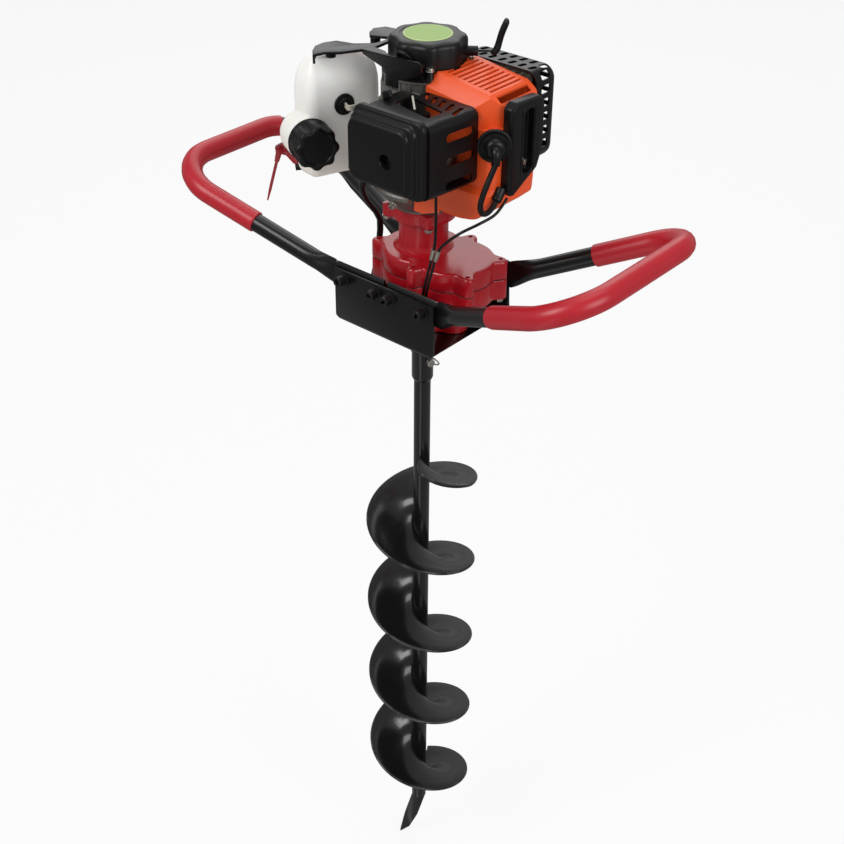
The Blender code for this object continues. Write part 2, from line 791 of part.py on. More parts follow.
def sleeve_rings(shape, start, end, extra, segments=10):
    """Rings round a handle between two distances along it."""
    route = full_route(shape)
    rings = []
    travelled = 0.0
    places = [station(shape, start)]
    for a, b in zip(route, route[1:]):
        travelled += (b - a).length
        if start + 0.004 < travelled < end - 0.004:
            i = route.index(b)
            tangent = (route[i + 1] - route[i - 1]).normalized()
            places.append((b, tangent))
    places.append(station(shape, end))
    for here, tangent in places:
        across = tangent.cross(Vector((0, 0, 1))).normalized()
        up = across.cross(tangent).normalized()
        rings.append([
            here + (across * cos(a) + up * sin(a)) * (TUBE_RADIUS + extra)
            for a in (2 * pi * (k + 0.5) / segments for k in range(segments))
        ])
    return rings


def make_handle(name, shape):
    item = loft(name, handle_rings(shape), black_paint)
    side = shape["side"]
    for x in (HANDLE_BOLT_INNER, HANDLE_BOLT_OUTER):
        drill(item, (side * x, -1, HANDLE_BOLT_HEIGHT), (side * x, 1, HANDLE_BOLT_HEIGHT),
              BOLT_RADIUS + FIT, 10)
    return item


def make_grip(name, shape, span):
    outer = sleeve_rings(shape, *span, GRIP_WALL + FIT)
    inner = sleeve_rings(shape, *span, FIT)
    return pipe(name, outer, inner, red_grip)


def make_side_bolt(name, x, side):
    """A cap screw with its washer under the head and its nut run up inside."""
    grip_end = -(BRACKET_WALL + FIT + FLAT_THICKNESS + FIT)
    head = WASHER_THICKNESS + BOLT_HEAD_LENGTH
    profile = [
        (0, head), (BOLT_HEAD_RADIUS, head), (BOLT_HEAD_RADIUS, WASHER_THICKNESS),
        (WASHER_RADIUS, WASHER_THICKNESS), (WASHER_RADIUS, FIT), (BOLT_RADIUS, FIT),
        (BOLT_RADIUS, grip_end), (NUT_RADIUS, grip_end), (NUT_RADIUS, grip_end - NUT_LENGTH),
        (0, grip_end - NUT_LENGTH),
    ]
    item = turned(name, profile, black_steel, 8)
    return place(item, (x, side * BRACKET_WIDTH / 2, HANDLE_BOLT_HEIGHT), (0, side, 0))


# Gearbox

def flange_discs(extra=0.0, bosses=True):
    discs = [(0, 0, MAIN_RADIUS + extra), (GEAR_CENTRES, 0, REAR_RADIUS + extra)]
    if bosses:
        discs += [(x, y, BOSS_RADIUS + extra) for x, y in BOSS_PLACES]
    return discs


HOUSING_MIDDLE = (GEAR_CENTRES / 2, 0)
FOOT_MIDDLE = (GEAR_CENTRES / 4, 0)


def make_lower_housing():
    flange = disc_outline(HOUSING_MIDDLE, flange_discs(), FLANGE_POINTS)
    item = prism("gearbox_lower", flange, BOSS_BASE, PARTING, red_paint)
    foot_discs = [(0, 0, FOOT_RADIUS), (GEAR_CENTRES, 0, FOOT_REAR_RADIUS)]
    foot = prism("foot", disc_outline(FOOT_MIDDLE, foot_discs, ROOM_POINTS), HOUSING_BASE, BOSS_BASE + 0.002, None)
    join(item, foot)
    room = disc_outline(HOUSING_MIDDLE, flange_discs(-HOUSING_WALL, False), ROOM_POINTS)
    combine(item, prism("room", room, BOSS_BASE + FOOT_WALL, PARTING + 0.01, None))
    foot_discs = [(0, 0, FOOT_RADIUS - FOOT_WALL), (GEAR_CENTRES, 0, FOOT_REAR_RADIUS - FOOT_WALL)]
    floor = OUTPUT_WHEEL_BASE - 0.003
    low_room = prism("low_room", disc_outline(FOOT_MIDDLE, foot_discs, ROOM_POINTS), floor, BOSS_BASE + 0.02, None)
    combine(item, low_room)
    seat = turned("seat", [
        (0, HOUSING_BASE - 0.01), (OUTPUT_SHAFT_RADIUS + 2 * FIT, HOUSING_BASE - 0.01),
        (OUTPUT_SHAFT_RADIUS + 2 * FIT, floor - FIT - BEARING_WIDTH),
        (OUTPUT_BEARING_RADIUS + FIT, floor - FIT - BEARING_WIDTH),
        (OUTPUT_BEARING_RADIUS + FIT, floor + 0.001), (0, floor + 0.001),
    ], None, ROUND, tools)
    combine(item, seat)
    drill(item, (GEAR_CENTRES, 0, floor - 0.005), (GEAR_CENTRES, 0, floor + 0.001),
          COUNTER_SHAFT_RADIUS + FIT, 12)
    holes = many_rods("holes", BOSS_PLACES, BOSS_BASE - 0.01, PARTING + 0.01, CASE_BOLT_RADIUS + FIT)
    combine(item, holes)
    return item


def make_gasket():
    outer = disc_outline(HOUSING_MIDDLE, flange_discs(), FLANGE_POINTS)
    item = prism("gearbox_gasket", outer, PARTING + FIT, PARTING + FIT + GASKET, gasket_paper)
    room = disc_outline(HOUSING_MIDDLE, flange_discs(-HOUSING_WALL, False), ROOM_POINTS)
    combine(item, prism("room", room, PARTING - 0.01, PARTING + 0.01, None))
    combine(item, many_rods("holes", BOSS_PLACES, PARTING - 0.01, PARTING + 0.01,
                            CASE_BOLT_RADIUS + FIT))
    return item


UPPER_BASE = PARTING + GASKET + 2 * FIT
ROOF = HOUSING_TOP - 0.004
BEARING_TOP = DRUM_FLOOR - 0.002


def make_upper_housing():
    outer = disc_outline(HOUSING_MIDDLE, flange_discs(), FLANGE_POINTS)
    item = prism("gearbox_upper", outer, UPPER_BASE, HOUSING_TOP, red_paint, CASE_EDGE)
    neck = turned("neck", [
        (0, HOUSING_TOP - 0.002), (NECK_RADIUS + 0.002, HOUSING_TOP - 0.002),
        (NECK_RADIUS, HOUSING_TOP + 0.003),
        (NECK_RADIUS, NECK_TOP - 0.004), (NECK_RADIUS + 0.004, NECK_TOP), (FLANGE_RADIUS - 0.001, NECK_TOP),
        (FLANGE_RADIUS, NECK_TOP + 0.001), (FLANGE_RADIUS, FLANGE_TOP), (0, FLANGE_TOP),
    ], None, 24, tools)
    join(item, neck)
    room = disc_outline(HOUSING_MIDDLE, flange_discs(-HOUSING_WALL, False), ROOM_POINTS)
    combine(item, prism("room", room, UPPER_BASE - 0.01, ROOF, None))
    bore = turned("bore", [
        (0, ROOF - 0.002), (INPUT_BEARING_RADIUS + FIT, ROOF - 0.002),
        (INPUT_BEARING_RADIUS + FIT, BEARING_TOP + FIT),
        (INPUT_SHAFT_RADIUS + 2 * FIT, BEARING_TOP + FIT),
        (INPUT_SHAFT_RADIUS + 2 * FIT, DRUM_FLOOR), (DRUM_BORE_RADIUS, DRUM_FLOOR),
        (DRUM_BORE_RADIUS, FLANGE_TOP + 0.01), (0, FLANGE_TOP + 0.01),
    ], None, ROUND, tools)
    combine(item, bore)
    drill(item, (GEAR_CENTRES, 0, ROOF - 0.001), (GEAR_CENTRES, 0, HOUSING_TOP - 0.0015),
          COUNTER_SHAFT_RADIUS + FIT, 12)
    combine(item, many_rods("holes", BOSS_PLACES, UPPER_BASE - 0.01, HOUSING_TOP + 0.01,
                            CASE_BOLT_RADIUS + FIT))
    return item


def make_case_bolt(name, x, y):
    """A hexagon screw driven up from below, its end just under the top of the boss."""
    profile = [
        (0, BOSS_BASE - FIT - CASE_BOLT_HEAD_LENGTH),
        (CASE_BOLT_HEAD_RADIUS, BOSS_BASE - FIT - CASE_BOLT_HEAD_LENGTH),
        (CASE_BOLT_HEAD_RADIUS, BOSS_BASE - FIT), (CASE_BOLT_RADIUS, BOSS_BASE - FIT),
        (CASE_BOLT_RADIUS, HOUSING_TOP - 0.004), (0, HOUSING_TOP - 0.004),
    ]
    return place(turned(name, profile, bright_steel, 6), (x, y, 0))


# Reduction gears

WHEEL_RADIUS = GEAR_MODULE * WHEEL_TEETH / 2
PINION_RADIUS = GEAR_MODULE * PINION_TEETH / 2
BEARING_BASE = OUTPUT_WHEEL_BASE - 0.003 - FIT - BEARING_WIDTH + FIT


def make_output_shaft():
    """The wheel that turns the bit, keyed on the shaft that goes down to its socket."""
    item = prism("output_shaft", gear_outline(WHEEL_TEETH, WHEEL_RADIUS, 0), OUTPUT_WHEEL_BASE,
                 OUTPUT_WHEEL_BASE + WHEEL_WIDTH, bright_steel)
    top = OUTPUT_WHEEL_BASE + WHEEL_WIDTH + 0.006
    join(item, turned("shaft", [
        (0, OUTPUT_SHAFT_BOTTOM), (OUTPUT_SHAFT_RADIUS - 0.001, OUTPUT_SHAFT_BOTTOM),
        (OUTPUT_SHAFT_RADIUS, OUTPUT_SHAFT_BOTTOM + 0.001),
        (OUTPUT_SHAFT_RADIUS, OUTPUT_WHEEL_BASE - 0.002),
        (OUTPUT_SHAFT_RADIUS + 0.004, OUTPUT_WHEEL_BASE - 0.002), (OUTPUT_SHAFT_RADIUS + 0.004, top),
        (0, top),
    ], None, ROUND, tools))
    drill(item, hitch_point(-1), hitch_point(1), HITCH_PIN_RADIUS + FIT, 12)
    return item


def make_countershaft():
    """The big wheel of the first stage and the pinion of the second, on one shaft."""
    item = prism("countershaft", gear_outline(WHEEL_TEETH, WHEEL_RADIUS, 0), COUNTER_WHEEL_BASE,
                 COUNTER_WHEEL_BASE + WHEEL_WIDTH, bright_steel)
    pinion = prism("pinion", gear_outline(PINION_TEETH, PINION_RADIUS, pi / PINION_TEETH),
                   OUTPUT_WHEEL_BASE - PINION_OVERHANG,
                   COUNTER_WHEEL_BASE + 0.001, None)
    join(item, pinion)
    low = OUTPUT_WHEEL_BASE - 0.003 - 0.005 + FIT
    join(item, rod("shaft", (0, 0, low), (0, 0, HOUSING_TOP - 0.0015 - FIT), COUNTER_SHAFT_RADIUS,
                   None, 12))
    return carry(item, Matrix.Translation((GEAR_CENTRES, 0, 0)))


def make_clutch_drum():
    """The clutch bell with the first pinion cut on the end of its shaft."""
    floor = DRUM_FLOOR + FIT
    item = turned("clutch_drum", [
        (0, COUNTER_WHEEL_BASE - 0.004), (INPUT_SHAFT_RADIUS, COUNTER_WHEEL_BASE - 0.004),
        (INPUT_SHAFT_RADIUS, floor), (DRUM_RADIUS, floor), (DRUM_RADIUS, DRUM_TOP),
        (DRUM_RADIUS - DRUM_WALL, DRUM_TOP), (DRUM_RADIUS - DRUM_WALL, floor + DRUM_WALL),
        (0, floor + DRUM_WALL),
    ], bright_steel, ROUND)
    pinion = prism("pinion", gear_outline(PINION_TEETH, PINION_RADIUS, pi / PINION_TEETH),
                   COUNTER_WHEEL_BASE - PINION_OVERHANG,
                   COUNTER_WHEEL_BASE + WHEEL_WIDTH + PINION_OVERHANG, None)
    return join(item, pinion)


def make_bearing(name, shaft, radius, z0):
    return turned(name, tube_profile(shaft + FIT, radius, z0, z0 + BEARING_WIDTH), bright_steel)


def make_clutch_shoes():
    """Two weights on a hub, thrown out against the bell as the engine speeds up."""
    item = turned("clutch_shoes", tube_profile(CRANK_SHAFT_RADIUS + FIT, SHOE_RADIUS, SHOE_BASE, SHOE_TOP),
                  black_steel)
    gaps = [
        ((-1, -0.0012, SHOE_BASE - 1), (-0.011, 0.0012, SHOE_TOP + 1)),
        ((0.011, -0.0012, SHOE_BASE - 1), (1, 0.0012, SHOE_TOP + 1)),
    ]
    return combine(item, many_blocks("shoe_gaps", gaps))


# Auger bit

def hitch_point(end):
    reach = SLEEVE_RADIUS + 0.006
    return Vector((cos(HITCH_PIN_ANGLE) * reach * end, sin(HITCH_PIN_ANGLE) * reach * end,
                   HITCH_PIN_HEIGHT))


def make_bit_tube():
    """The drive tube: a socket that takes the output shaft, then a thinner tube to the point."""
    socket = OUTPUT_SHAFT_RADIUS + FIT
    item = turned("bit_tube", [
        (0, BIT_TUBE_BOTTOM), (BIT_TUBE_RADIUS, BIT_TUBE_BOTTOM), (BIT_TUBE_RADIUS, SLEEVE_BOTTOM - 0.003),
        (SLEEVE_RADIUS, SLEEVE_BOTTOM), (SLEEVE_RADIUS, SLEEVE_TOP), (socket, SLEEVE_TOP),
        (socket, SLEEVE_TOP - SOCKET_DEPTH), (0, SLEEVE_TOP - SOCKET_DEPTH),
    ], black_paint, ROUND)
    return drill(item, hitch_point(-1), hitch_point(1), HITCH_PIN_RADIUS + FIT, 12)


def make_flight():
    """The helical plate, welded round the tube: seen from above it descends clockwise."""
    steps = ceil(FLIGHT_TURNS * 20)
    rings = []
    for step in range(steps + 1):
        turned_by = FLIGHT_TURNS * 2 * pi * step / steps
        a = FLIGHT_START_ANGLE + turned_by
        z = FLIGHT_TOP - FLIGHT_PITCH * turned_by / (2 * pi)
        grow = min(1.0, turned_by / FLIGHT_LEAD_IN)
        inner = BIT_TUBE_RADIUS + FIT
        outer = inner + 0.022 + (BIT_RADIUS - inner - 0.022) * sqrt(grow)
        ring = []
        for r, dz in ((inner, 0), (outer, 0), (outer, -FLIGHT_THICKNESS), (inner, -FLIGHT_THICKNESS)):
            ring.append(Vector((r * cos(a), r * sin(a), z + dz)))
        rings.append(ring)
    return loft("bit_flight", rings, black_paint)


def make_point():
    """A flat bar welded across the end of the tube, leaning a little and ground to a chisel."""
    top = BIT_TUBE_BOTTOM - FIT
    lean = Vector((cos(POINT_DIRECTION), sin(POINT_DIRECTION), 0))
    thin = Vector((-lean.y, lean.x, 0)) * POINT_THICKNESS / 2
    rings = []
    for share, width, drop in ((0, POINT_WIDTH, 0), (0.55, POINT_WIDTH, 0), (1, POINT_WIDTH * 0.75, 0.010)):
        centre = Vector((0, 0, top - POINT_LENGTH * share)) + lean * POINT_LEAN * share
        wide = lean * width / 2
        down = Vector((0, 0, drop))
        rings.append([
            centre - wide - thin + down, centre + wide - thin - down * 0.2,
            centre + wide + thin - down * 0.2, centre - wide + thin + down,
        ])
    return loft("bit_point", rings, black_paint)


def make_hitch_pin():
    """The cross pin that holds the bit on the output shaft, with its spring clip."""
    item = rod("hitch_pin", hitch_point(-1), hitch_point(1), HITCH_PIN_RADIUS, bright_steel, 12)
    return item


# Crankcase, crankshaft and cylinder

def make_crankcase():
    """Die-cast case: a round foot on the clutch housing, the crank chamber, and the fan housing."""
    block_outline = round_rect(BLOCK_BACK, BLOCK_FRONT, -BLOCK_HALF_WIDTH, BLOCK_HALF_WIDTH, 0.012, 2)
    item = prism("crankcase", block_outline, DISH_TOP - 0.0105, FAN_CASE_BASE + 0.002, cast_aluminium)
    foot = turned("foot", [
        (0, CASE_BASE), (FLANGE_RADIUS, CASE_BASE), (FLANGE_RADIUS, CASE_BASE + 0.002),
        (DISH_RADIUS, DISH_TOP - 0.006), (DISH_RADIUS, DISH_TOP - 0.002), (DISH_RADIUS - 0.002, DISH_TOP),
        (0, DISH_TOP),
    ], None, 32, tools)
    beside = block("beside", (DISH_CUT, -DISH_RADIUS - 0.01, CASE_BASE - 0.01),
                   (DISH_RADIUS + 0.01, DISH_RADIUS + 0.01, DISH_TOP + 0.01), None)
    combine(beside, rod("core", (0, 0, CASE_BASE - 0.02), (0, 0, DISH_TOP + 0.02), DISH_CORE, None, 32))
    combine(foot, beside)
    join(item, foot)
    join(item, turned("fan_case", [
        (0, FAN_CASE_BASE), (FAN_CASE_RADIUS - 0.001, FAN_CASE_BASE), (FAN_CASE_RADIUS, FAN_CASE_BASE + 0.001),
        (FAN_CASE_RADIUS, FAN_CASE_TOP), (0, FAN_CASE_TOP),
    ], None, 24, tools))
    shaft = CRANK_SHAFT_RADIUS + FIT
    room = CRANK_WEB_RADIUS + 0.002
    low = CRANK_HEIGHT - CRANK_PIN_LENGTH / 2 - CRANK_WEB_WIDTH - 0.0015
    high = CRANK_HEIGHT + CRANK_PIN_LENGTH / 2 + CRANK_WEB_WIDTH + 0.0015
    combine(item, turned("inside", [
        (0, CASE_BASE - 0.01), (shaft, CASE_BASE - 0.01), (shaft, low), (room, low), (room, high),
        (shaft, high), (shaft, FAN_FLOOR), (FAN_CASE_RADIUS - FAN_CASE_WALL, FAN_FLOOR),
        (FAN_CASE_RADIUS - FAN_CASE_WALL, FAN_CASE_TOP + 0.01), (0, FAN_CASE_TOP + 0.01),
    ], None, ROUND, tools))
    drill(item, (0.01, 0, CRANK_HEIGHT), (0.1, 0, CRANK_HEIGHT), BORE_RADIUS, 20)
    return item


def make_crankshaft():
    """Crankshaft with full-circle webs, an offset pin between them, and the flywheel's taper."""
    low_web = CRANK_HEIGHT - CRANK_PIN_LENGTH / 2
    high_web = CRANK_HEIGHT + CRANK_PIN_LENGTH / 2
    item = turned("crankshaft", [
        (0, CRANK_BOTTOM), (CRANK_SHAFT_RADIUS, CRANK_BOTTOM),
        (CRANK_SHAFT_RADIUS, low_web - CRANK_WEB_WIDTH), (CRANK_WEB_RADIUS, low_web - CRANK_WEB_WIDTH),
        (CRANK_WEB_RADIUS, low_web), (0, low_web),
    ], bright_steel, ROUND)
    pin = rod("pin", (CRANK_THROW, 0, low_web - 0.002), (CRANK_THROW, 0, high_web + 0.002),
              CRANK_PIN_RADIUS, None, 12)
    join(item, pin)
    join(item, turned("upper", [
        (0, high_web), (CRANK_WEB_RADIUS, high_web), (CRANK_WEB_RADIUS, high_web + CRANK_WEB_WIDTH),
        (CRANK_SHAFT_RADIUS, high_web + CRANK_WEB_WIDTH), (CRANK_SHAFT_RADIUS, CRANK_TOP), (0, CRANK_TOP),
    ], None, ROUND, tools))
    return join(item, flywheel())


def flywheel():
    """Fan wheel: straight blades standing on a disc."""
    points = []
    for k in range(FLYWHEEL_BLADES):
        for r, step in ((0.024, -0.30), (FLYWHEEL_RADIUS, -0.10), (FLYWHEEL_RADIUS, 0.10), (0.024, 0.30)):
            a = 2 * pi * (k + step) / FLYWHEEL_BLADES
            points.append((r * cos(a), r * sin(a)))
    item = prism("flywheel", points, FLYWHEEL_BASE, FLYWHEEL_BASE + FLYWHEEL_HEIGHT, None)
    join(item, rod("disc", (0, 0, FLYWHEEL_BASE - 0.0015), (0, 0, FLYWHEEL_BASE + 0.002),
                   FLYWHEEL_RADIUS - 0.001, None, ROUND))
    return item


def make_cylinder():
    """Air-cooled barrel and head with its round fins and two ports, lying along +X."""
    start = BLOCK_FRONT + FIT
    flange = BARREL_RADIUS + 0.005
    profile = [(BORE_RADIUS, start), (flange, start), (flange, start + 0.004)]
    for k in range(FIN_COUNT):
        fin = FIN_START + FIN_PITCH * k
        profile += [(BARREL_RADIUS, fin), (FIN_RADIUS, fin), (FIN_RADIUS, fin + FIN_THICKNESS),
                    (BARREL_RADIUS, fin + FIN_THICKNESS)]
    profile += [(BARREL_RADIUS, HEAD_END - 0.004), (0.010, HEAD_END), (0, HEAD_END),
                (0, HEAD_END - HEAD_LENGTH), (BORE_RADIUS, HEAD_END - HEAD_LENGTH)]
    item = place(turned("cylinder", profile, cast_aluminium), (0, 0, CRANK_HEIGHT), (1, 0, 0))
    ports = rod("ports", (PORT_X, -FIN_RADIUS, CRANK_HEIGHT), (PORT_X, FIN_RADIUS, CRANK_HEIGHT),
                EXHAUST_RADIUS + 0.001, None)
    join(item, ports)
    return drill(item, (start - 0.01, 0, CRANK_HEIGHT), (HEAD_END - HEAD_LENGTH, 0, CRANK_HEIGHT),
                 BORE_RADIUS, ROUND)


# Engine shroud

def roof_height(x):
    return ROOF_HEIGHT + ROOF_SLOPE * (x - SHROUD_ROOF[0])


def shroud_body(name, inset_by, material, collection):
    """The shroud's outer form, or the room inside it: walls, pitched roof, facet and cut corner."""
    corner = SHROUD_CORNER - inset_by
    rings = []
    for level, (z, x0, x1, y0, y1) in enumerate(SHROUD_LEVELS):
        outline = round_rect(x0 + inset_by, x1 - inset_by, y0 + inset_by, y1 - inset_by, corner, 2)
        rings.append(at_height(outline, CRANK_HEIGHT + z - (0.005 if inset_by and not level else 0)))
    z, x0, x1, y0, y1 = SHROUD_LEVELS[-1]
    r0, r1, f0, f1 = SHROUD_ROOF
    for drop, (a0, a1, b0, b1) in ((ROOF_EDGE, (x0, x1, y0, y1)), (0.0, (r0, r1, f0, f1))):
        outline = round_rect(a0 + inset_by, a1 - inset_by, b0 + inset_by, b1 - inset_by, corner, 2)
        rings.append([Vector((x, y, roof_height(x) - inset_by - drop)) for x, y in outline])
    item = loft(name, rings, material, collection)
    start, slope = ROOF_FACET
    top = roof_height(start) - inset_by
    facet = prism("facet", [(start, top), (start + 0.1, top - 0.1 * slope), (start + 0.1, top + 0.1),
                            (start, top + 0.1)], 0, 0.2, None)
    combine(item, upright(facet, -0.1))
    across, along = SHROUD_CHAMFER
    first, last = Vector((x1 - across, y0)), Vector((x1, y0 + along))
    run = (last - first).normalized()
    out = Vector((run.y, -run.x))
    first, last = first - run * 0.01 - out * inset_by, last + run * 0.01 - out * inset_by
    cutter = prism("chamfer", [first, first + out * 0.04, last + out * 0.04, last],
                   CHAMFER_BASE - inset_by, STARTER_TOP, None)
    return combine(item, cutter)


def make_shroud():
    """Moulded cover over the cylinder, open below and towards the crankcase."""
    item = shroud_body("engine_shroud", 0.0, orange_plastic, model)
    combine(item, shroud_body("shroud_room", SHROUD_WALL, None, tools))
    cheek = [(x, CRANK_HEIGHT + z) for x, z in SHROUD_CHEEK]
    join(item, upright(prism("cheek", cheek, 0, SHROUD_WALL + 0.0004, None), SHROUD_LEVELS[1][3] + 0.0002))
    half = BLOCK_HALF_WIDTH - 0.006
    openings = [((0.0, -half, CRANK_HEIGHT - 0.040), (0.045, half, CRANK_HEIGHT + 0.040))]
    for k in range(GRILLE_SLOTS):
        x = GRILLE_START + GRILLE_PITCH * k
        openings.append(((x, GRILLE_FRONT, FAN_CASE_TOP - 0.006), (x + GRILLE_SLOT, GRILLE_BACK, STARTER_TOP)))
    x = ROOF_FACET[0] + 0.0035
    openings.append(((x, GRILLE_FRONT, FAN_CASE_TOP - 0.006), (x + 0.0075, GRILLE_BACK, STARTER_TOP)))
    combine(item, many_blocks("shroud_openings", openings))
    drill(item, (PORT_X, -0.06, CRANK_HEIGHT), (PORT_X, -0.02, CRANK_HEIGHT), INTAKE_RADIUS + 0.001, 12)
    drill(item, (PORT_X, 0.02, CRANK_HEIGHT), (PORT_X, 0.06, CRANK_HEIGHT), EXHAUST_RADIUS + 0.001, 12)
    combine(item, turned("fan_clearance", [
        (0, FAN_CASE_BASE - 2 * FIT), (FAN_CASE_RADIUS + 2 * FIT, FAN_CASE_BASE - 2 * FIT),
        (FAN_CASE_RADIUS + 2 * FIT, FAN_CASE_TOP + STARTER_FLANGE + 2 * FIT),
        (STARTER_RADIUS + STARTER_LOBE + 2 * FIT, FAN_CASE_TOP + STARTER_FLANGE + 2 * FIT),
        (STARTER_RADIUS + STARTER_LOBE + 2 * FIT, STARTER_TOP), (0, STARTER_TOP),
    ], None, 28, tools))
    return drill(item, boot_point(-0.030), boot_point(0.010), 0.012, 12)


# Spark plug side

def boot_point(along, across=0.0, up=0.0):
    """A point along the spark plug's axis, outwards from the boot's back face."""
    out = Vector((cos(PLUG_AXIS), sin(PLUG_AXIS), 0))
    aside = Vector((-out.y, out.x, 0))
    return Vector(BOOT_CENTRE) + out * along + aside * across + Vector((0, 0, up))


def make_boot():
    """Moulded rubber cap over the spark plug with the stub that takes the lead."""
    item = turned("spark_boot", [
        (0.0056, -0.004), (0.010, -0.004), (0.010, 0.0), (BOOT_RADIUS - 0.0015, 0.0), (BOOT_RADIUS, 0.0015),
        (BOOT_RADIUS - 0.0008, 0.0042), (0.0120, 0.0060), (0.0100, 0.0110), (0.0075, 0.0135), (0, 0.0135),
        (0, 0.006), (0.0056, 0.006),
    ], black_rubber, 16)
    place(item, BOOT_CENTRE, (cos(PLUG_AXIS), sin(PLUG_AXIS), 0))
    return item


def make_spark_plug():
    """The plug: its shell stands in the head and its top carries the boot."""
    return rod("spark_plug", boot_point(-0.022), boot_point(0.0055), 0.0052, white_plastic, 12)


def make_lead():
    """Spark lead: down from the boot in a loop, then up into its grommet by the end guard."""
    points = [
        boot_point(0.0172, 0, -0.004), boot_point(0.0168, 0, -0.012), (0.1430, -0.0590, 0.2530),
        (0.1400, -0.0640, 0.234), (0.1385, -0.0690, 0.219), (0.1380, -0.0650, 0.2090),
        (0.1370, -0.0550, 0.2050), (0.1350, -0.0430, 0.2065), (0.1330, -0.0330, 0.2120), (0.1322, -0.0285, 0.2160),
    ]
    return wire("spark_lead", points, LEAD_RADIUS, black_rubber, 0.009)


def make_end_guard():
    """Black guard over the end of the cylinder, with a long slot."""
    x0, y0, z0 = END_GUARD_LOW
    x1, y1, z1 = END_GUARD_HIGH
    outline = round_polygon([
        (y0 + 0.004, z0), (y1 - 0.008, z0 + 0.021), (y1, z0 + 0.044), (y1, z1 - 0.012),
        (y1 - 0.008, z1), (y0 + 0.012, z1 + 0.002), (y0, z1 - 0.005), (y0, z0 + 0.008),
    ], 0.003, 1)
    item = prism("end_guard", outline, 0.0, x1 - x0, black_plastic, 0.0025)
    item.matrix_world = Matrix(((0, 0, 1, x0), (1, 0, 0, 0), (0, 1, 0, 0), (0, 0, 0, 1)))
    slot_low, slot_high = -0.0010, 0.0120
    floor = 0.0025
    slot = round_rect(slot_low, slot_high, z0 + 0.026, z1 - 0.006, 0.005, 2)
    cutter = prism("slot", slot, floor, 0.05, None)
    cutter.matrix_world = item.matrix_world.copy()
    combine(item, cutter)
    wall = 0.004
    back = block("back", (x0 - 0.01, y0 + wall, z0 + 0.006), (x1 - wall, y1 - wall, z1 - wall), None)
    web = block("web", (x0 - 0.02, slot_low - floor, z0 - 1), (x0 + 0.05, slot_high + floor, z1 + 1), None)
    combine(back, web)
    combine(item, back)
    drill(item, boot_point(-0.02), boot_point(0.03), BOOT_RADIUS + 2 * FIT, ROUND)
    screw = turned("screw", [
        (0, -0.001), (0.0045, -0.001), (0.0045, 0.0015), (0.0035, 0.003), (0, 0.003),
    ], None, 10, tools)
    return join(item, place(screw, (x0 + floor, (slot_low + slot_high) / 2, z0 + 0.038), (1, 0, 0)))


# Muffler

def make_muffler():
    """Pressed steel muffler, its port reaching through the shroud to the barrel."""
    low = (GUARD_LOW[0] + MUFFLER_MARGIN, GUARD_LOW[1] + 0.002, GUARD_LOW[2] + 0.014)
    high = (GUARD_HIGH[0] - MUFFLER_MARGIN, GUARD_HIGH[1] - MUFFLER_MARGIN, GUARD_HIGH[2] - 0.012)
    item = block("muffler", low, high, black_steel, 0.008, 2)
    join(item, rod("port", (PORT_X, FIN_RADIUS + FIT, CRANK_HEIGHT), (PORT_X, low[1] + 0.01, CRANK_HEIGHT),
                   EXHAUST_RADIUS, None, 14))
    return item


def make_muffler_guard():
    """Slotted shell round the muffler, open towards the engine."""
    x0, y0, z0 = GUARD_LOW
    x1, y1, z1 = GUARD_HIGH
    def ring(inset_by, y):
        outline = round_rect(x0 + inset_by, x1 - inset_by, z0 + inset_by, z1 - inset_by,
                             GUARD_CORNER - inset_by, 2)
        return [Vector((x, y, z)) for x, z in reversed(outline)]
    edge = 0.006
    outer = [ring(0, y0), ring(0, y1 - edge), ring(edge, y1)]
    inner = [ring(GUARD_WALL, y0), ring(GUARD_WALL, y1 - edge), ring(edge, y1 - GUARD_WALL)]
    item = cup("muffler_guard", outer, inner, black_paint)
    slots = []
    for k in range(6):
        x = x0 + 0.016 + 0.0128 * k
        slots.append(((x, y0 + 0.004, z1 - 0.01), (x + 0.0058, y0 + 0.0165, z1 + 0.01)))
        slots.append(((x, y0 + 0.0205, z1 - 0.01), (x + 0.0058, y0 + 0.0325, z1 + 0.01)))
    for k in range(6):
        z = z0 + 0.016 + 0.0138 * k
        slots.append(((x1 - 0.01, y0 + 0.006, z), (x1 + 0.01, y0 + 0.029, z + 0.0062)))
    for k in range(4):
        z = z0 + 0.018 + 0.020 * k
        slots.append(((x0 + 0.018, y1 - 0.01, z), (x1 - 0.018, y1 + 0.01, z + 0.009)))
    return combine(item, many_blocks("guard_slots", slots))


# Air filter and carburettor

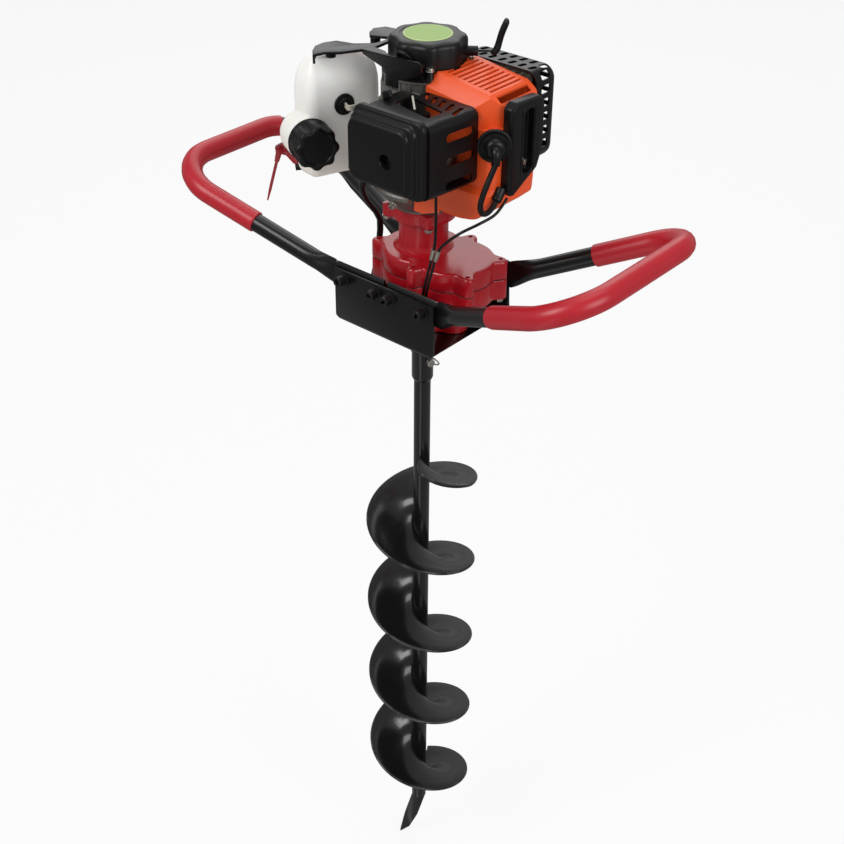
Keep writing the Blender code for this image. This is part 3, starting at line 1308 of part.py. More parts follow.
def make_air_housing():
    """Black housing round the carburettor: slotted side and top, open at the back."""
    x0, y0, z0 = AIR_LOW
    x1, y1, z1 = AIR_HIGH
    def ring(inset_by, y):
        outline = round_rect(x0 + inset_by, x1 - inset_by, z0 + inset_by, z1 - inset_by,
                             AIR_CORNER - inset_by, 3)
        return [Vector((x, y, z)) for x, z in outline]
    item = cup("air_housing", [ring(0, y1), ring(0, y0)], [ring(AIR_WALL, y1), ring(AIR_WALL, y0 + AIR_WALL)],
               black_plastic)
    notch = block("notch", (x0 - 0.01, AIR_NOTCH[1], z0 - 0.01), (AIR_NOTCH[0], y1 + 0.01, z1 + 0.01), None)
    combine(item, notch)
    slots = [((0.012, -0.086, z1 - 0.01), (0.050, -0.066, z1 + 0.01))]
    for k in range(5):
        x = 0.040 + 0.0118 * k
        slots.append(((x, -0.060, z1 - 0.01), (x + 0.0055, -0.048, z1 + 0.01)))
    for k in range(3):
        z = z0 + 0.010 + 0.0265 * k
        slots.append(((x1 - 0.01, -0.086, z), (x1 + 0.01, -0.047, z + 0.0105)))
    slots.append(((PORT_X - 0.006, y0 - 0.01, CRANK_HEIGHT - 0.006), (PORT_X + 0.006, y0 + 0.01, CRANK_HEIGHT + 0.006)))
    return combine(item, many_blocks("air_slots", slots))


def make_filter_cover():
    """Stepped, rounded filter lid with its screw hole."""
    x0, y0, z0 = AIR_LOW
    x1, y1, z1 = AIR_HIGH
    lean = 0.010
    outer = []
    for depth, inset_by in FILTER_STEPS:
        outline = round_rect(x0 - 0.002 + inset_by, x1 - lean + 0.004 - inset_by, z0 + inset_by, z1 - inset_by,
                             AIR_CORNER - inset_by * 0.5, 3)
        outer.append([Vector((x, y0 - depth, z)) for x, z in outline])
    item = loft("filter_cover", outer, black_plastic)
    room = block("room", (x0 + 0.008, y0 - 0.0125, z0 + 0.010), (x1 - 0.016, y0 + 0.01, z1 - 0.010), None)
    combine(item, room)
    hole = (0.0555, y0, z0 + 0.040)
    return drill(item, (hole[0], y0 - 0.1, hole[2]), (hole[0], y0 - 0.0115, hole[2]), FILTER_HOLE_RADIUS, 14)


def make_carburettor():
    """Carburettor body with its throat, between the filter and the intake port."""
    item = block("carburettor", CARB_LOW, CARB_HIGH, cast_aluminium, 0.003, 1)
    join(item, rod("throat", (PORT_X, -FIN_RADIUS - FIT, CRANK_HEIGHT),
                   (PORT_X, AIR_LOW[1] + AIR_WALL + FIT, CRANK_HEIGHT), INTAKE_RADIUS, None, 14))
    arm = block("arm", (0.026, -0.0805, CRANK_HEIGHT), (0.052, -0.0735, 0.262), None)
    join(item, arm)
    post = block("post", (0.026, -0.0805, CRANK_HEIGHT + 0.002), (0.034, -0.0735, 0.294), None)
    join(item, post)
    drill(item, (0.030, -0.09, CHOKE_PIVOT[2]), (0.030, -0.06, CHOKE_PIVOT[2]), 0.0018 + FIT, 10)
    return item


def make_choke_lever():
    """Choke lever: a steel strip on a pivot pin with a moulded knob above the housing."""
    x, y, z = CHOKE_PIVOT
    item = block("choke_lever", (x - 0.0035, y - 0.0008, z - 0.0035), (x + 0.0035, y + 0.0008, z + 0.030),
                 black_steel)
    join(item, rod("pin", (x, y - 0.002, z), (x, y + 0.0105, z), 0.0018, None, 10))
    join(item, block("knob", (x - 0.006, y - 0.0030, z + 0.0255), (x + 0.006, y + 0.0030, z + 0.0345), None,
                     0.0012))
    return pivot_at(item, CHOKE_PIVOT, Matrix.Rotation(radians(-24), 4, "Y"))


def pivot_at(item, pivot, turn=Matrix.Identity(4)):
    """Put an object's origin on its hinge, and turn it there with the shapes joined to it."""
    bpy.context.view_layer.update()
    hinge = Matrix.Translation(Vector(pivot))
    for shape in [item] + [change.object for change in item.modifiers if change.type == "BOOLEAN"]:
        shape.data.transform(hinge.inverted() @ shape.matrix_world)
        shape.matrix_world = hinge @ turn
    return item


# Fuel tank

def filler_point(along, across=0.0, up=0.0):
    """A point along the filler's axis, outwards from the face of the cap."""
    out = Vector((cos(FILLER_AXIS), sin(FILLER_AXIS), 0))
    aside = Vector((-out.y, out.x, 0))
    return Vector(FILLER_FACE) + out * along + aside * across + Vector((0, 0, up))


FILLER_DIRECTION = (cos(FILLER_AXIS), sin(FILLER_AXIS), 0)


def make_tank():
    """Blow-moulded tank with a filler lobe at its lower front corner."""
    plan = round_polygon(TANK_PLAN, TANK_CORNER, 2)
    rings = []
    for z, pull in ((TANK_BASE, 0.010), (TANK_BASE + 0.004, 0.004), (TANK_BASE + 0.014, 0.0),
                    (TANK_TOP - 0.026, 0.0), (TANK_TOP - 0.011, 0.003), (TANK_TOP - 0.003, 0.008),
                    (TANK_TOP, 0.012)):
        rings.append(at_height(inset(plan, pull), z))
    item = loft("fuel_tank", rings, white_plastic)
    back = -CAP_LENGTH - FILLER_LENGTH
    lobe = turned("lobe", [
        (0, back), (FILLER_RADIUS - 0.007, back), (FILLER_RADIUS - 0.001, back + 0.008),
        (FILLER_RADIUS, back + 0.012),
        (FILLER_RADIUS, -CAP_LENGTH - 0.0066), (NECK_FIT_RADIUS, -CAP_LENGTH - 0.0066),
        (NECK_FIT_RADIUS, -0.008), (NECK_FIT_RADIUS - 0.003, -0.008), (NECK_FIT_RADIUS - 0.003, -0.040),
        (0, -0.040),
    ], None, ROUND, tools)
    place(lobe, FILLER_FACE, FILLER_DIRECTION)
    join(item, lobe)
    return item


def make_cap():
    """Lobed screw cap over the filler neck."""
    outline = lobed(CAP_RADIUS, CAP_LOBE, CAP_LOBES, 40)
    item = prism("fuel_cap", outline, -CAP_LENGTH - 0.006, 0, black_plastic, 0.0018)
    place(item, FILLER_FACE, FILLER_DIRECTION)
    hollow = rod("hollow", filler_point(-CAP_LENGTH - 0.02), filler_point(-0.0075), NECK_FIT_RADIUS + FIT,
                 None, ROUND)
    return combine(item, hollow)


def tank_face():
    """Point where the fuel lines leave the tank's broad side, and the direction straight out of it."""
    first, last = Vector(TANK_PLAN[1]), Vector(TANK_PLAN[2])
    point = first + (last - first) * GROMMET_ALONG
    run = (last - first).normalized()
    return Vector((point.x, point.y, GROMMET_HEIGHT)), Vector((run.y, -run.x, 0))


def make_grommet():
    """Rubber bush in the tank wall where the fuel lines come out."""
    face, out = tank_face()
    item = turned("tank_grommet", [
        (0, 0.0), (0.0125, 0.0), (0.0125, 0.0025), (0.0080, 0.0048), (0, GROMMET_DEPTH),
    ], black_rubber, 14)
    return place(item, face + out * FIT, out)


def make_fuel_line(name, dz):
    """Fuel hose from the tank's grommet, under the fan housing, to the carburettor."""
    face, out = tank_face()
    start = face + out * (GROMMET_DEPTH + 2 * FIT) + Vector((0, 0, dz))
    points = [
        start, start + out * 0.010, (-0.040, -0.0640, 0.268 + dz), (-0.014, -0.0535, 0.257 + dz),
        (0.012, -0.0455, 0.2495 + dz), (0.032, -0.0520, 0.2520 + dz),
        (CARB_LOW[0] - 0.006, -0.0640, 0.2530 + dz), (CARB_LOW[0] - FIT, -0.0640, 0.2530 + dz),
    ]
    return wire(name, points, FUEL_LINE_RADIUS, clear_hose, 0.016)


# Starter

def make_starter_cover():
    """Recoil starter cover: eight soft lobes, a flange below and a spout for the rope."""
    flange = FAN_CASE_TOP + STARTER_FLANGE
    rings = []
    for z, pull, lobe in (
        (FAN_CASE_TOP + FIT, -0.006, 0.0), (flange, -0.006, 0.0), (flange, 0.0, STARTER_LOBE),
        (STARTER_TOP - 0.009, 0.0, STARTER_LOBE), (STARTER_TOP - 0.0025, 0.0025, STARTER_LOBE),
        (STARTER_TOP, 0.008, STARTER_LOBE),
    ):
        rings.append(at_height(lobed(STARTER_RADIUS - pull, lobe, 8, 32, radians(20)), z))
    item = loft("starter_cover", rings, black_plastic)
    room = STARTER_RADIUS - STARTER_LOBE - STARTER_WALL
    ceiling = STARTER_TOP - STARTER_WALL
    combine(item, turned("room", [
        (0, FAN_CASE_TOP - 0.01), (room, FAN_CASE_TOP - 0.01), (room, ceiling - 0.008),
        (room - 0.008, ceiling), (0, ceiling),
    ], None, 24, tools))
    out = Vector((cos(SPOUT_ANGLE), sin(SPOUT_ANGLE), 0))
    base = Vector((0, 0, SPOUT_HEIGHT))
    spout = rod("spout", base + out * (STARTER_RADIUS - 0.003), base + out * SPOUT_REACH, SPOUT_RADIUS, None, 12)
    join(item, spout)
    join(item, rod("label", (0, 0, STARTER_TOP - 0.001), (0, 0, STARTER_TOP + 0.0010),
                   LABEL_RADIUS, None, 28))
    return drill(item, base + out * (room - 0.005), base + out * (SPOUT_REACH + 0.01), ROPE_RADIUS + FIT, 8)


def make_starter_grip():
    """Rubber pull grip on its rope, standing up beside the cover."""
    out = Vector((cos(SPOUT_ANGLE), sin(SPOUT_ANGLE), 0))
    base = Vector((0, 0, SPOUT_HEIGHT)) + out * (SPOUT_REACH + FIT)
    rings = []
    for along, up, wide, deep in (
        (0.000, -0.004, 0.006, 0.004), (0.005, 0.002, 0.0065, 0.0045), (0.007, 0.010, 0.0045, 0.0040),
        (0.009, 0.020, 0.0050, 0.0042), (0.013, 0.030, 0.0060, 0.0042), (0.016, 0.037, 0.0062, 0.0036),
    ):
        centre = base + out * (along + 0.0045) + Vector((0, 0, up))
        side = Vector((-out.y, out.x, 0))
        tilt = (out * 0.8 + Vector((0, 0, -0.6))) if up > 0.01 else (out * 0.9 + Vector((0, 0, -0.3)))
        tilt.normalize()
        rings.append([
            centre + side * wide * cos(a) + tilt * deep * sin(a)
            for a in (2 * pi * k / 10 for k in range(10))
        ])
    item = loft("starter_grip", rings, black_rubber)
    rope_start = Vector((0, 0, SPOUT_HEIGHT)) + out * 0.010
    join(item, rod("rope", rope_start, base + out * 0.004, ROPE_RADIUS, None, 8))
    return item


# Tank guard

def make_tank_guard():
    """Pressed plate: two arms over the tank, a hollow side round the starter, a ribbed front flange."""
    outline = [
        (0.0335, STAND_FRONT), (0.0335, -0.0400), (0.0150, -0.0400),
        (-0.044, -0.034), (-0.046, 0.000), (-0.044, 0.022), (-0.060, 0.030), (-0.082, 0.026),
        (-0.089, 0.012), (-0.084, 0.000), (-0.075, -0.0095), (-0.056, 0.000), (-0.052, -0.007),
        (-0.053, -0.024), (-0.070, -0.041), (-0.091, -0.047), (-0.098, -0.062), (-0.097, -0.074),
        (-0.088, -0.088), (-0.078, -0.098), (-0.074, -0.084), (-0.062, -0.072), (-0.050, STAND_FRONT),
    ]
    top = STAND_PLATE_TOP
    item = prism("tank_guard", outline, STAND_PLATE_BASE, top, black_paint, 0.0008)
    combine(item, rod("opening", (0, 0, top - 0.04), (0, 0, top + 0.04),
                      STARTER_RADIUS + STARTER_LOBE + 0.0010, None, 24))
    foot_base = FAN_CASE_TOP + STARTER_FLANGE + FIT
    foot_start, foot_end = STAND_FOOT
    skirt = prism("skirt", [
        (-0.0500, top + 0.0005), (-0.0480, top - 0.0045), (-0.0210, top - 0.0125), (foot_start, top - 0.0145),
        (foot_start, foot_base + 0.0005), (foot_end, foot_base + 0.0005), (foot_end, top - 0.0225),
        (0.0300, top - 0.0130),
        (0.0375, top - 0.0060), (0.0375, top + 0.0010), (0.0335, top + 0.0040),
    ], 0, STAND_SKIRT, None)
    join(item, upright(skirt, STAND_FRONT - 0.0004))
    join(item, block("foot", (foot_start + 0.0005, STAND_FRONT + 0.0005, foot_base),
                     (foot_end - 0.0005, -STARTER_RADIUS - STARTER_LOBE - 0.0008, foot_base + 0.0030), None))
    lip_base = TANK_TOP + 0.0025
    for lip in (
        [(-0.0975, -0.0745), (-0.0885, -0.0885), (-0.0785, -0.0985), (-0.0765, -0.0965), (-0.0865, -0.0865),
         (-0.0955, -0.0725)],
        [(-0.0600, 0.0305), (-0.0825, 0.0265), (-0.0895, 0.0120), (-0.0870, 0.0115), (-0.0805, 0.0245),
         (-0.0600, 0.0280)],
    ):
        join(item, prism("lip", lip, lip_base, top - 0.0005, None))
    for x, y in TANK_PADS:
        join(item, rod("pad", (x, y, TANK_TOP + FIT), (x, y, STAND_PLATE_BASE + 0.001), 0.006, None, 10))
    return item


# Throttle

def throttle_point(along, up, across=0.0):
    """A point in the throttle's own upright plane, which holds the bar's direction at the strap."""
    centre, direction = station(HANDLE_SHAPE["left"], THROTTLE_STATION)
    level = Vector((direction.x, direction.y, 0)).normalized()
    return centre + level * along + Vector((level.y, -level.x, 0)) * across + Vector((0, 0, up))


def throttle_plate(name, outline, low, high, material, collection=model):
    """An outline in the throttle's plane, given a thickness from low to high across it."""
    rings = [[throttle_point(along, up, across) for along, up in outline] for across in (low, high)]
    return loft(name, rings, material, collection)


def make_throttle_bracket():
    """Strap round the left handle with the lug that carries the lever and takes the cable."""
    centre, direction = station(HANDLE_SHAPE["left"], THROTTLE_STATION)
    inner = TUBE_RADIUS + FIT
    item = turned("throttle_bracket", tube_profile(inner, inner + STRAP_WALL, -STRAP_WIDTH / 2,
                                                   STRAP_WIDTH / 2), red_paint, 20)
    place(item, centre, direction)
    half = LUG_THICKNESS / 2
    join(item, throttle_plate("lug", LUG_OUTLINE, -half, half, None))
    return drill(item, throttle_point(*LEVER_PIVOT, -0.02), throttle_point(*LEVER_PIVOT, 0.02),
                 LEVER_PIN_RADIUS + FIT, 8)


def make_throttle_lever():
    """Hand lever below the bar: two ears and a pin at the lug, then a flat blade."""
    along, up = LEVER_PIVOT
    down = Vector((-sin(LEVER_SLANT), -cos(LEVER_SLANT)))
    side = Vector((-down.y, down.x))
    base = Vector((along, up))
    ear_end = 0.0165
    def outline(stations):
        left = [base + down * d - side * w for d, w in stations]
        right = [base + down * d + side * w for d, w in reversed(stations)]
        return [tuple(point) for point in left + right]
    inner = LUG_THICKNESS / 2 + FIT
    thick = LEVER_THICKNESS / 2
    blade = outline([(0.0115, thick), (0.030, thick * 1.1), (0.058, thick), (LEVER_LENGTH, thick * 0.5)])
    item = throttle_plate("throttle_lever", blade, -inner - EAR_THICKNESS, inner + EAR_THICKNESS, red_paint)
    ear = outline([(-0.0045, 0.003), (0.0, 0.0045), (ear_end, 0.0032)])
    for low in (-inner - EAR_THICKNESS, inner):
        join(item, throttle_plate("ear", ear, low, low + EAR_THICKNESS, None))
    ends = [throttle_point(along, up, end * (inner + EAR_THICKNESS + 0.001)) for end in (-1, 1)]
    join(item, rod("pin", *ends, LEVER_PIN_RADIUS, None, 8))
    return pivot_at(item, throttle_point(along, up))


# Cables

def loom_points():
    """From inside the bracket, out at its left end and along the rear leg to the throttle."""
    shape = HANDLE_SHAPE["left"]
    route = [
        (0.034, -0.0590, 0.030), (0.010, -0.0590, 0.013), (-0.030, -0.0600, 0.0095), (-0.066, -0.054, 0.012),
        (-0.080, -0.025, 0.016), (-0.082, 0.015, 0.024), (-0.087, 0.048, 0.038),
    ]
    for distance, drop in ((0.745, 0.0205), (0.69, 0.0172), (0.64, 0.0176), (0.59, 0.0180)):
        here, along = station(shape, distance)
        across = along.cross(Vector((0, 0, 1))).normalized()
        route.append(here - across.cross(along).normalized() * drop)
    return route + [throttle_point(0.0, LUG_BOTTOM - 0.0085), throttle_point(0.0, LUG_BOTTOM - FIT)]


def make_loom():
    return wire("control_loom", loom_points(), LOOM_RADIUS, black_rubber, 0.030)


def make_throttle_cable():
    """Carburettor end of the throttle cable, down behind the gearbox into the bracket."""
    points = [
        (CARB_LOW[0] - FIT, -0.0700, 0.240), (CARB_LOW[0] - 0.006, -0.0700, 0.240), (0.0330, -0.0490, 0.2370),
        (0.0220, -0.0455, 0.2285), (0.0020, -0.0460, 0.2160), (-0.0220, -0.0535, 0.2050),
        (-0.0430, -0.0570, 0.1890), (-0.0540, -0.0480, 0.1700), (-0.0620, -0.0280, 0.1450),
        (-0.0660, -0.0050, 0.115), (-0.0690, -0.0060, 0.070), (-0.0715, -0.0120, 0.036), (-0.0740, -0.0220, 0.0220),
    ]
    return wire("throttle_cable", points, CABLE_RADIUS, black_rubber, 0.020)


def make_kill_wires():
    """Two thin wires with bullet connectors, from the engine down into the end of the loom."""
    loom = [Vector(point) for point in loom_points()[:2]]
    out = (loom[0] - loom[1]).normalized()
    aside = out.cross(Vector((0, 0, 1))).normalized()
    stop = [
        (0.0850, -0.0800, 0.2240), (0.0830, -0.0770, 0.2060), (0.0815, -0.0750, 0.1750),
        (0.0790, -0.0742, 0.1500), (0.0690, -0.0716, 0.1180), (0.0600, -0.0670, 0.0950),
        (0.0520, -0.0605, 0.0780), (0.0475, -0.0595, 0.0560),
    ]
    earth = [
        (0.1345, -0.0163, 0.2050), (0.1345, -0.0225, 0.2030), (0.1305, -0.0330, 0.1920),
        (0.1240, -0.0520, 0.1860), (0.1080, -0.0690, 0.1740), (0.0860, -0.0740, 0.1500),
        (0.0745, -0.0722, 0.1180), (0.0650, -0.0675, 0.0950), (0.0565, -0.0605, 0.0780),
        (0.0520, -0.0590, 0.0560),
    ]
    items = []
    for name, points, bullet, offset in (("stop_wire", stop, 3, 0.0020), ("earth_wire", earth, 5, -0.0020)):
        end = loom[0] + out * 2 * FIT + aside * offset
        route = points + [end + out * 0.010, end]
        item = as_mesh(wire(name, route, WIRE_RADIUS, black_rubber, 0.018))
        a, b = Vector(points[bullet]), Vector(points[bullet + 1])
        join(item, rod("bullet", a + (b - a) * 0.05, a + (b - a) * 0.75, WIRE_RADIUS + 0.0006, None, 8))
        items.append(item)
    return items


def build():
    clear_scene()
    make_bracket()
    for name, shape in HANDLE_SHAPE.items():
        make_handle("handle_" + name, shape)
        make_grip("grip_" + name, shape, GRIP_SPAN[name])
    for number, (x, side) in enumerate(side_bolt_places(), 1):
        make_side_bolt("handle_bolt_%d" % number, x, side)
    make_lower_housing()
    make_gasket()
    make_upper_housing()
    for number, (x, y) in enumerate(BOSS_PLACES, 1):
        make_case_bolt("case_bolt_%d" % number, x, y)
    make_output_shaft()
    make_countershaft()
    make_clutch_drum()
    make_bearing("output_bearing", OUTPUT_SHAFT_RADIUS, OUTPUT_BEARING_RADIUS, BEARING_BASE)
    make_bearing("input_bearing", INPUT_SHAFT_RADIUS, INPUT_BEARING_RADIUS, BEARING_TOP - BEARING_WIDTH)
    make_clutch_shoes()
    make_bit_tube()
    make_flight()
    make_point()
    make_hitch_pin()
    make_crankcase()
    make_crankshaft()
    make_cylinder()
    make_shroud()
    make_boot()
    make_spark_plug()
    make_lead()
    make_end_guard()
    make_muffler()
    make_muffler_guard()
    make_air_housing()
    make_filter_cover()
    make_carburettor()
    make_choke_lever()
    make_tank()
    make_cap()
    make_grommet()
    make_fuel_line("fuel_line", 0.0032)
    make_fuel_line("return_line", -0.0032)
    make_starter_cover()
    make_starter_grip()
    make_tank_guard()
    make_throttle_bracket()
    make_throttle_lever()
    make_loom()
    make_throttle_cable()
    make_kill_wires()


build()
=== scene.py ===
"""Looks for a one-man earth auger: bent tube handles, a cast gearbox, a small engine and a helical bit."""

from math import atan2, ceil, cos, pi, radians, sin, sqrt, tan

import bpy
from mathutils import Matrix, Vector


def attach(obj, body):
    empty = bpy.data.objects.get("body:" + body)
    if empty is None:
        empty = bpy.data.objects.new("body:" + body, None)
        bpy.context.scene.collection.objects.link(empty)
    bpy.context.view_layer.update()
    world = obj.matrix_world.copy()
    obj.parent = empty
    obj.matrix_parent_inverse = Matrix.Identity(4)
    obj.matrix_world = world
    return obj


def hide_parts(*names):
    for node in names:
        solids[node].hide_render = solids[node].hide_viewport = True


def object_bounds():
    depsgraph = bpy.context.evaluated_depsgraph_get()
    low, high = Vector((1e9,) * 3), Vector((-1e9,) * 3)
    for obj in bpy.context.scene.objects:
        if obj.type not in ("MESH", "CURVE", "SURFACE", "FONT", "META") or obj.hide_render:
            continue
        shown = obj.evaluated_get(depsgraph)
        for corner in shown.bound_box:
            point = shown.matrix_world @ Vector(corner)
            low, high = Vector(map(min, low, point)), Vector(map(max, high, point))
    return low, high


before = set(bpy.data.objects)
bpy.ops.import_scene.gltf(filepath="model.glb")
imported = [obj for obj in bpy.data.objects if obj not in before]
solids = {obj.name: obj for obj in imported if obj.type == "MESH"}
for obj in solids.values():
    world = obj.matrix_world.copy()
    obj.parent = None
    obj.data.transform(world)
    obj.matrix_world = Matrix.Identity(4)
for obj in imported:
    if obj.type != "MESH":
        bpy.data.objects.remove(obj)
cad_low, cad_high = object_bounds()

# The photographer's table: a white sweep with large soft lamps round it, and a
# long lens a little above the engine, so that the bit runs down the picture
# nearly without perspective.
bpy.ops.object.camera_add(location=(1.0064, -1.1828, 0.8828))
camera = bpy.context.object
looked_at = Vector((0, 0, -0.15734))
roll = radians(0.482)
camera.matrix_world = (
    Matrix.Translation(camera.location)
    @ (looked_at - camera.location).to_track_quat("-Z", "Y").to_matrix().to_4x4()
    @ Matrix.Rotation(roll, 4, "Z")
)
camera.data.lens = 61.05
camera.data.sensor_width = 36
bpy.context.scene.camera = camera
bpy.context.scene.view_settings.view_transform = "Standard"


def lamp(name, place, aim, size, power):
    """A square soft box at a place, turned towards a point."""
    bpy.ops.object.light_add(type="AREA", location=place)
    box = bpy.context.object
    box.name = name
    box.data.size = size
    box.data.energy = power
    box.rotation_euler = (Vector(aim) - Vector(place)).to_track_quat("-Z", "Y").to_euler()


lamp("key_box", (-0.7, -2.3, 2.1), (0, 0, -0.1), 1.5, 46)
lamp("right_box", (2.5, -0.3, 1.0), (0, 0, -0.2), 1.4, 26)
lamp("top_box", (0.1, 0.5, 2.7), (0, 0, 0), 1.8, 14)
lamp("back_box", (-2.0, 2.6, 2.2), (0, 0, -0.2), 3.0, 38)


class Value:
    """A number that varies over a surface. Sums written in Python become its nodes."""

    def __init__(self, finish, socket):
        self.finish = finish
        self.socket = socket

    def maths(self, operation, *others):
        return self.finish.node("ShaderNodeMath", {"operation": operation}, dict(enumerate((self,) + others)))

    def __add__(self, other):
        return self.maths("ADD", other)

    def __sub__(self, other):
        return self.maths("SUBTRACT", other)

    def __rsub__(self, other):
        return self.finish.node("ShaderNodeMath", {"operation": "SUBTRACT"}, {0: other, 1: self})

    def __mul__(self, other):
        return self.maths("MULTIPLY", other)

    def __truediv__(self, other):
        return self.maths("DIVIDE", other)

    def __pow__(self, other):
        return self.maths("POWER", other)

    def __abs__(self):
        return self.maths("ABSOLUTE")

    __radd__ = __add__
    __rmul__ = __mul__

    def ramp(self, low, high):
        """0 below the low value, 1 above the high one, smooth between."""
        return self.finish.node("ShaderNodeMapRange", {"interpolation_type": "SMOOTHSTEP"},
                                {"Value": self, "From Min": low, "From Max": high})


class Finish:
    """A paint, plastic or metal on Object coordinates, which keeps the name of its slot.

    Colours are given as seen, 0 to 255. Grain is a noise's scale and detail, its
    strength and depth. Gloss is the least roughness, its spread, and such a noise.
    """

    def __init__(self, name, slot, colour, roughness, metallic=0.0, grain=None, gloss=None, **constants):
        self.slot = slot
        self.material = bpy.data.materials.new(name)
        self.material.use_nodes = True
        self.tree = self.material.node_tree
        self.surface = self.tree.nodes["Principled BSDF"]
        constants.update(Base_Color=self.shade(colour), Roughness=roughness, Metallic=metallic)
        for socket, value in constants.items():
            self.surface.inputs[socket.replace("_", " ")].default_value = value
        self.place = self.node("ShaderNodeTexCoord", {}, {}, "Object")
        self.x, self.y, self.z = (self.node("ShaderNodeSeparateXYZ", {}, {0: self.place}, k) for k in range(3))
        if grain:
            self.relief(self.noise(*grain[:2]), *grain[2:])
        if gloss:
            self.feed("Roughness", gloss[0] + self.noise(*gloss[2:]) * gloss[1])

    def shade(self, colour):
        """A colour as it is seen, made linear for the shader."""
        return (*[((c / 255 + 0.055) / 1.055) ** 2.4 for c in colour], 1.0)

    def node(self, kind, settings, inputs, output=0):
        """Any node: its settings first, then the values or links of its sockets."""
        made = self.tree.nodes.new(kind)
        for name, value in settings.items():
            setattr(made, name, value)
        for name, value in inputs.items():
            if isinstance(value, Value):
                self.tree.links.new(value.socket, made.inputs[name])
            else:
                made.inputs[name].default_value = value
        return Value(self, made.outputs[output])

    def noise(self, scale, detail=3.0, stretch=(1, 1, 1)):
        spread = self.node("ShaderNodeMapping", {}, {"Vector": self.place, "Scale": stretch})
        return self.node("ShaderNodeTexNoise", {}, {"Vector": spread, "Scale": scale, "Detail": detail})

    def feed(self, socket, value):
        self.tree.links.new(value.socket, self.surface.inputs[socket])

    def tint(self, mask, low, high):
        """One colour where the mask is 0, the other where it is 1."""
        sockets = {0: mask, 6: self.shade(low), 7: self.shade(high)}
        self.feed("Base Color", self.node("ShaderNodeMix", {"data_type": "RGBA"}, sockets, 2))

    def relief(self, height, strength, distance=0.001):
        sockets = {"Height": height, "Strength": strength, "Distance": distance}
        self.feed("Normal", self.node("ShaderNodeBump", {}, sockets))


# The sheet glows white to the camera and keeps a soft shadow. Enamel mirrors it
# dim, but for one strip towards the front: the long streak down the bit's tube.
bpy.ops.mesh.primitive_plane_add(size=16, location=(0, 0, cad_low.z - 0.0006))
table = bpy.context.object
table.name = "white_table"
sheet = Finish("white_sheet", "", (236, 236, 236), 0.85)
rays = sheet.tree.nodes.new("ShaderNodeLightPath").outputs
to_camera, shining, through = (
    Value(sheet, rays["Is %s Ray" % kind]) for kind in ("Camera", "Glossy", "Transmission")
)
STRIP_X, STRIP_Y = 0.2756, -0.9613
run, aside = sheet.x * STRIP_X + sheet.y * STRIP_Y, sheet.y * STRIP_X - sheet.x * STRIP_Y
strip = 1 - (abs(aside) / run.maths("MAXIMUM", 0.01)).ramp(0.1, 0.17)
DIMMED, GLOW_SHARE = 0.82, 0.88
seen = (to_camera + shining + through).maths("MINIMUM", 1.0)
glow = sheet.node("ShaderNodeEmission", {}, {"Color": 1 - shining * (DIMMED - strip * DIMMED), "Strength": 1.0})
surface = {0: seen * GLOW_SHARE, 1: Value(sheet, sheet.surface.outputs[0]), 2: glow}
mixed = sheet.node("ShaderNodeMixShader", {}, surface)
sheet.tree.links.new(mixed.socket, sheet.tree.nodes["Material Output"].inputs["Surface"])
table.data.materials.append(sheet.material)

ROOM_LEVEL = 0.35
room = bpy.data.worlds.new("white_room")
room.use_nodes = True
bpy.context.scene.world = room
tree = room.node_tree
rays = tree.nodes.new("ShaderNodeLightPath").outputs
seen, level = (tree.nodes.new("ShaderNodeMath") for _ in range(2))
seen.operation = level.operation = "MAXIMUM"
tree.links.new(rays["Is Camera Ray"], seen.inputs[0])
tree.links.new(rays["Is Transmission Ray"], seen.inputs[1])
tree.links.new(seen.outputs[0], level.inputs[0])
level.inputs[1].default_value = ROOM_LEVEL
tree.links.new(level.outputs[0], tree.nodes["Background"].inputs["Strength"])
tree.nodes["Background"].inputs["Color"].default_value = (1, 1, 1, 1)


# The handle bracket: a channel bent from 4 mm steel plate, its lower corners cut
# off at the ends, sprayed gloss black. The gearbox stands in it and the four
# handle ends are bolted inside its two upright sides.
MM = 0.001


def rest():
    """Leave edit mode and deselect everything."""
    if bpy.context.object and bpy.context.object.mode == "EDIT":
        bpy.ops.object.mode_set(mode="OBJECT")
    bpy.ops.object.select_all(action="DESELECT")


def pick(piece):
    rest()
    piece.select_set(True)
    bpy.context.view_layer.objects.active = piece
    return piece


def modify(piece, kind, **settings):
    """Put a modifier on a piece and apply it."""
    pick(piece)
    change = piece.modifiers.new(kind.lower(), kind)
    for name, value in settings.items():
        setattr(change, name, value)
    bpy.ops.object.modifier_apply(modifier=change.name)
    return piece


def rounded(piece, width, segments=2, angle=30):
    """Round every edge that turns by more than an angle."""
    return modify(piece, "BEVEL", width=width, segments=segments, limit_method="ANGLE",
                  angle_limit=radians(angle), use_clamp_overlap=True, miter_outer="MITER_ARC")


def coat(finish, piece):
    """Give a piece its one finish."""
    piece.data.materials.clear()
    piece.data.materials.append(finish.material)


def settle(piece, finish, *nodes, body="frame", slot="", angle=32):
    """A piece drawn in millimetres, brought to metres: its finish, body and the solids it stands for."""
    piece.data.transform(Matrix.Scale(MM, 4))
    pick(piece)
    bpy.ops.object.transform_apply(location=True, rotation=True, scale=True)
    coat(finish, piece)
    bpy.ops.object.shade_smooth_by_angle(angle=radians(angle))
    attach(piece, body)
    if nodes:
        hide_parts(*nodes)


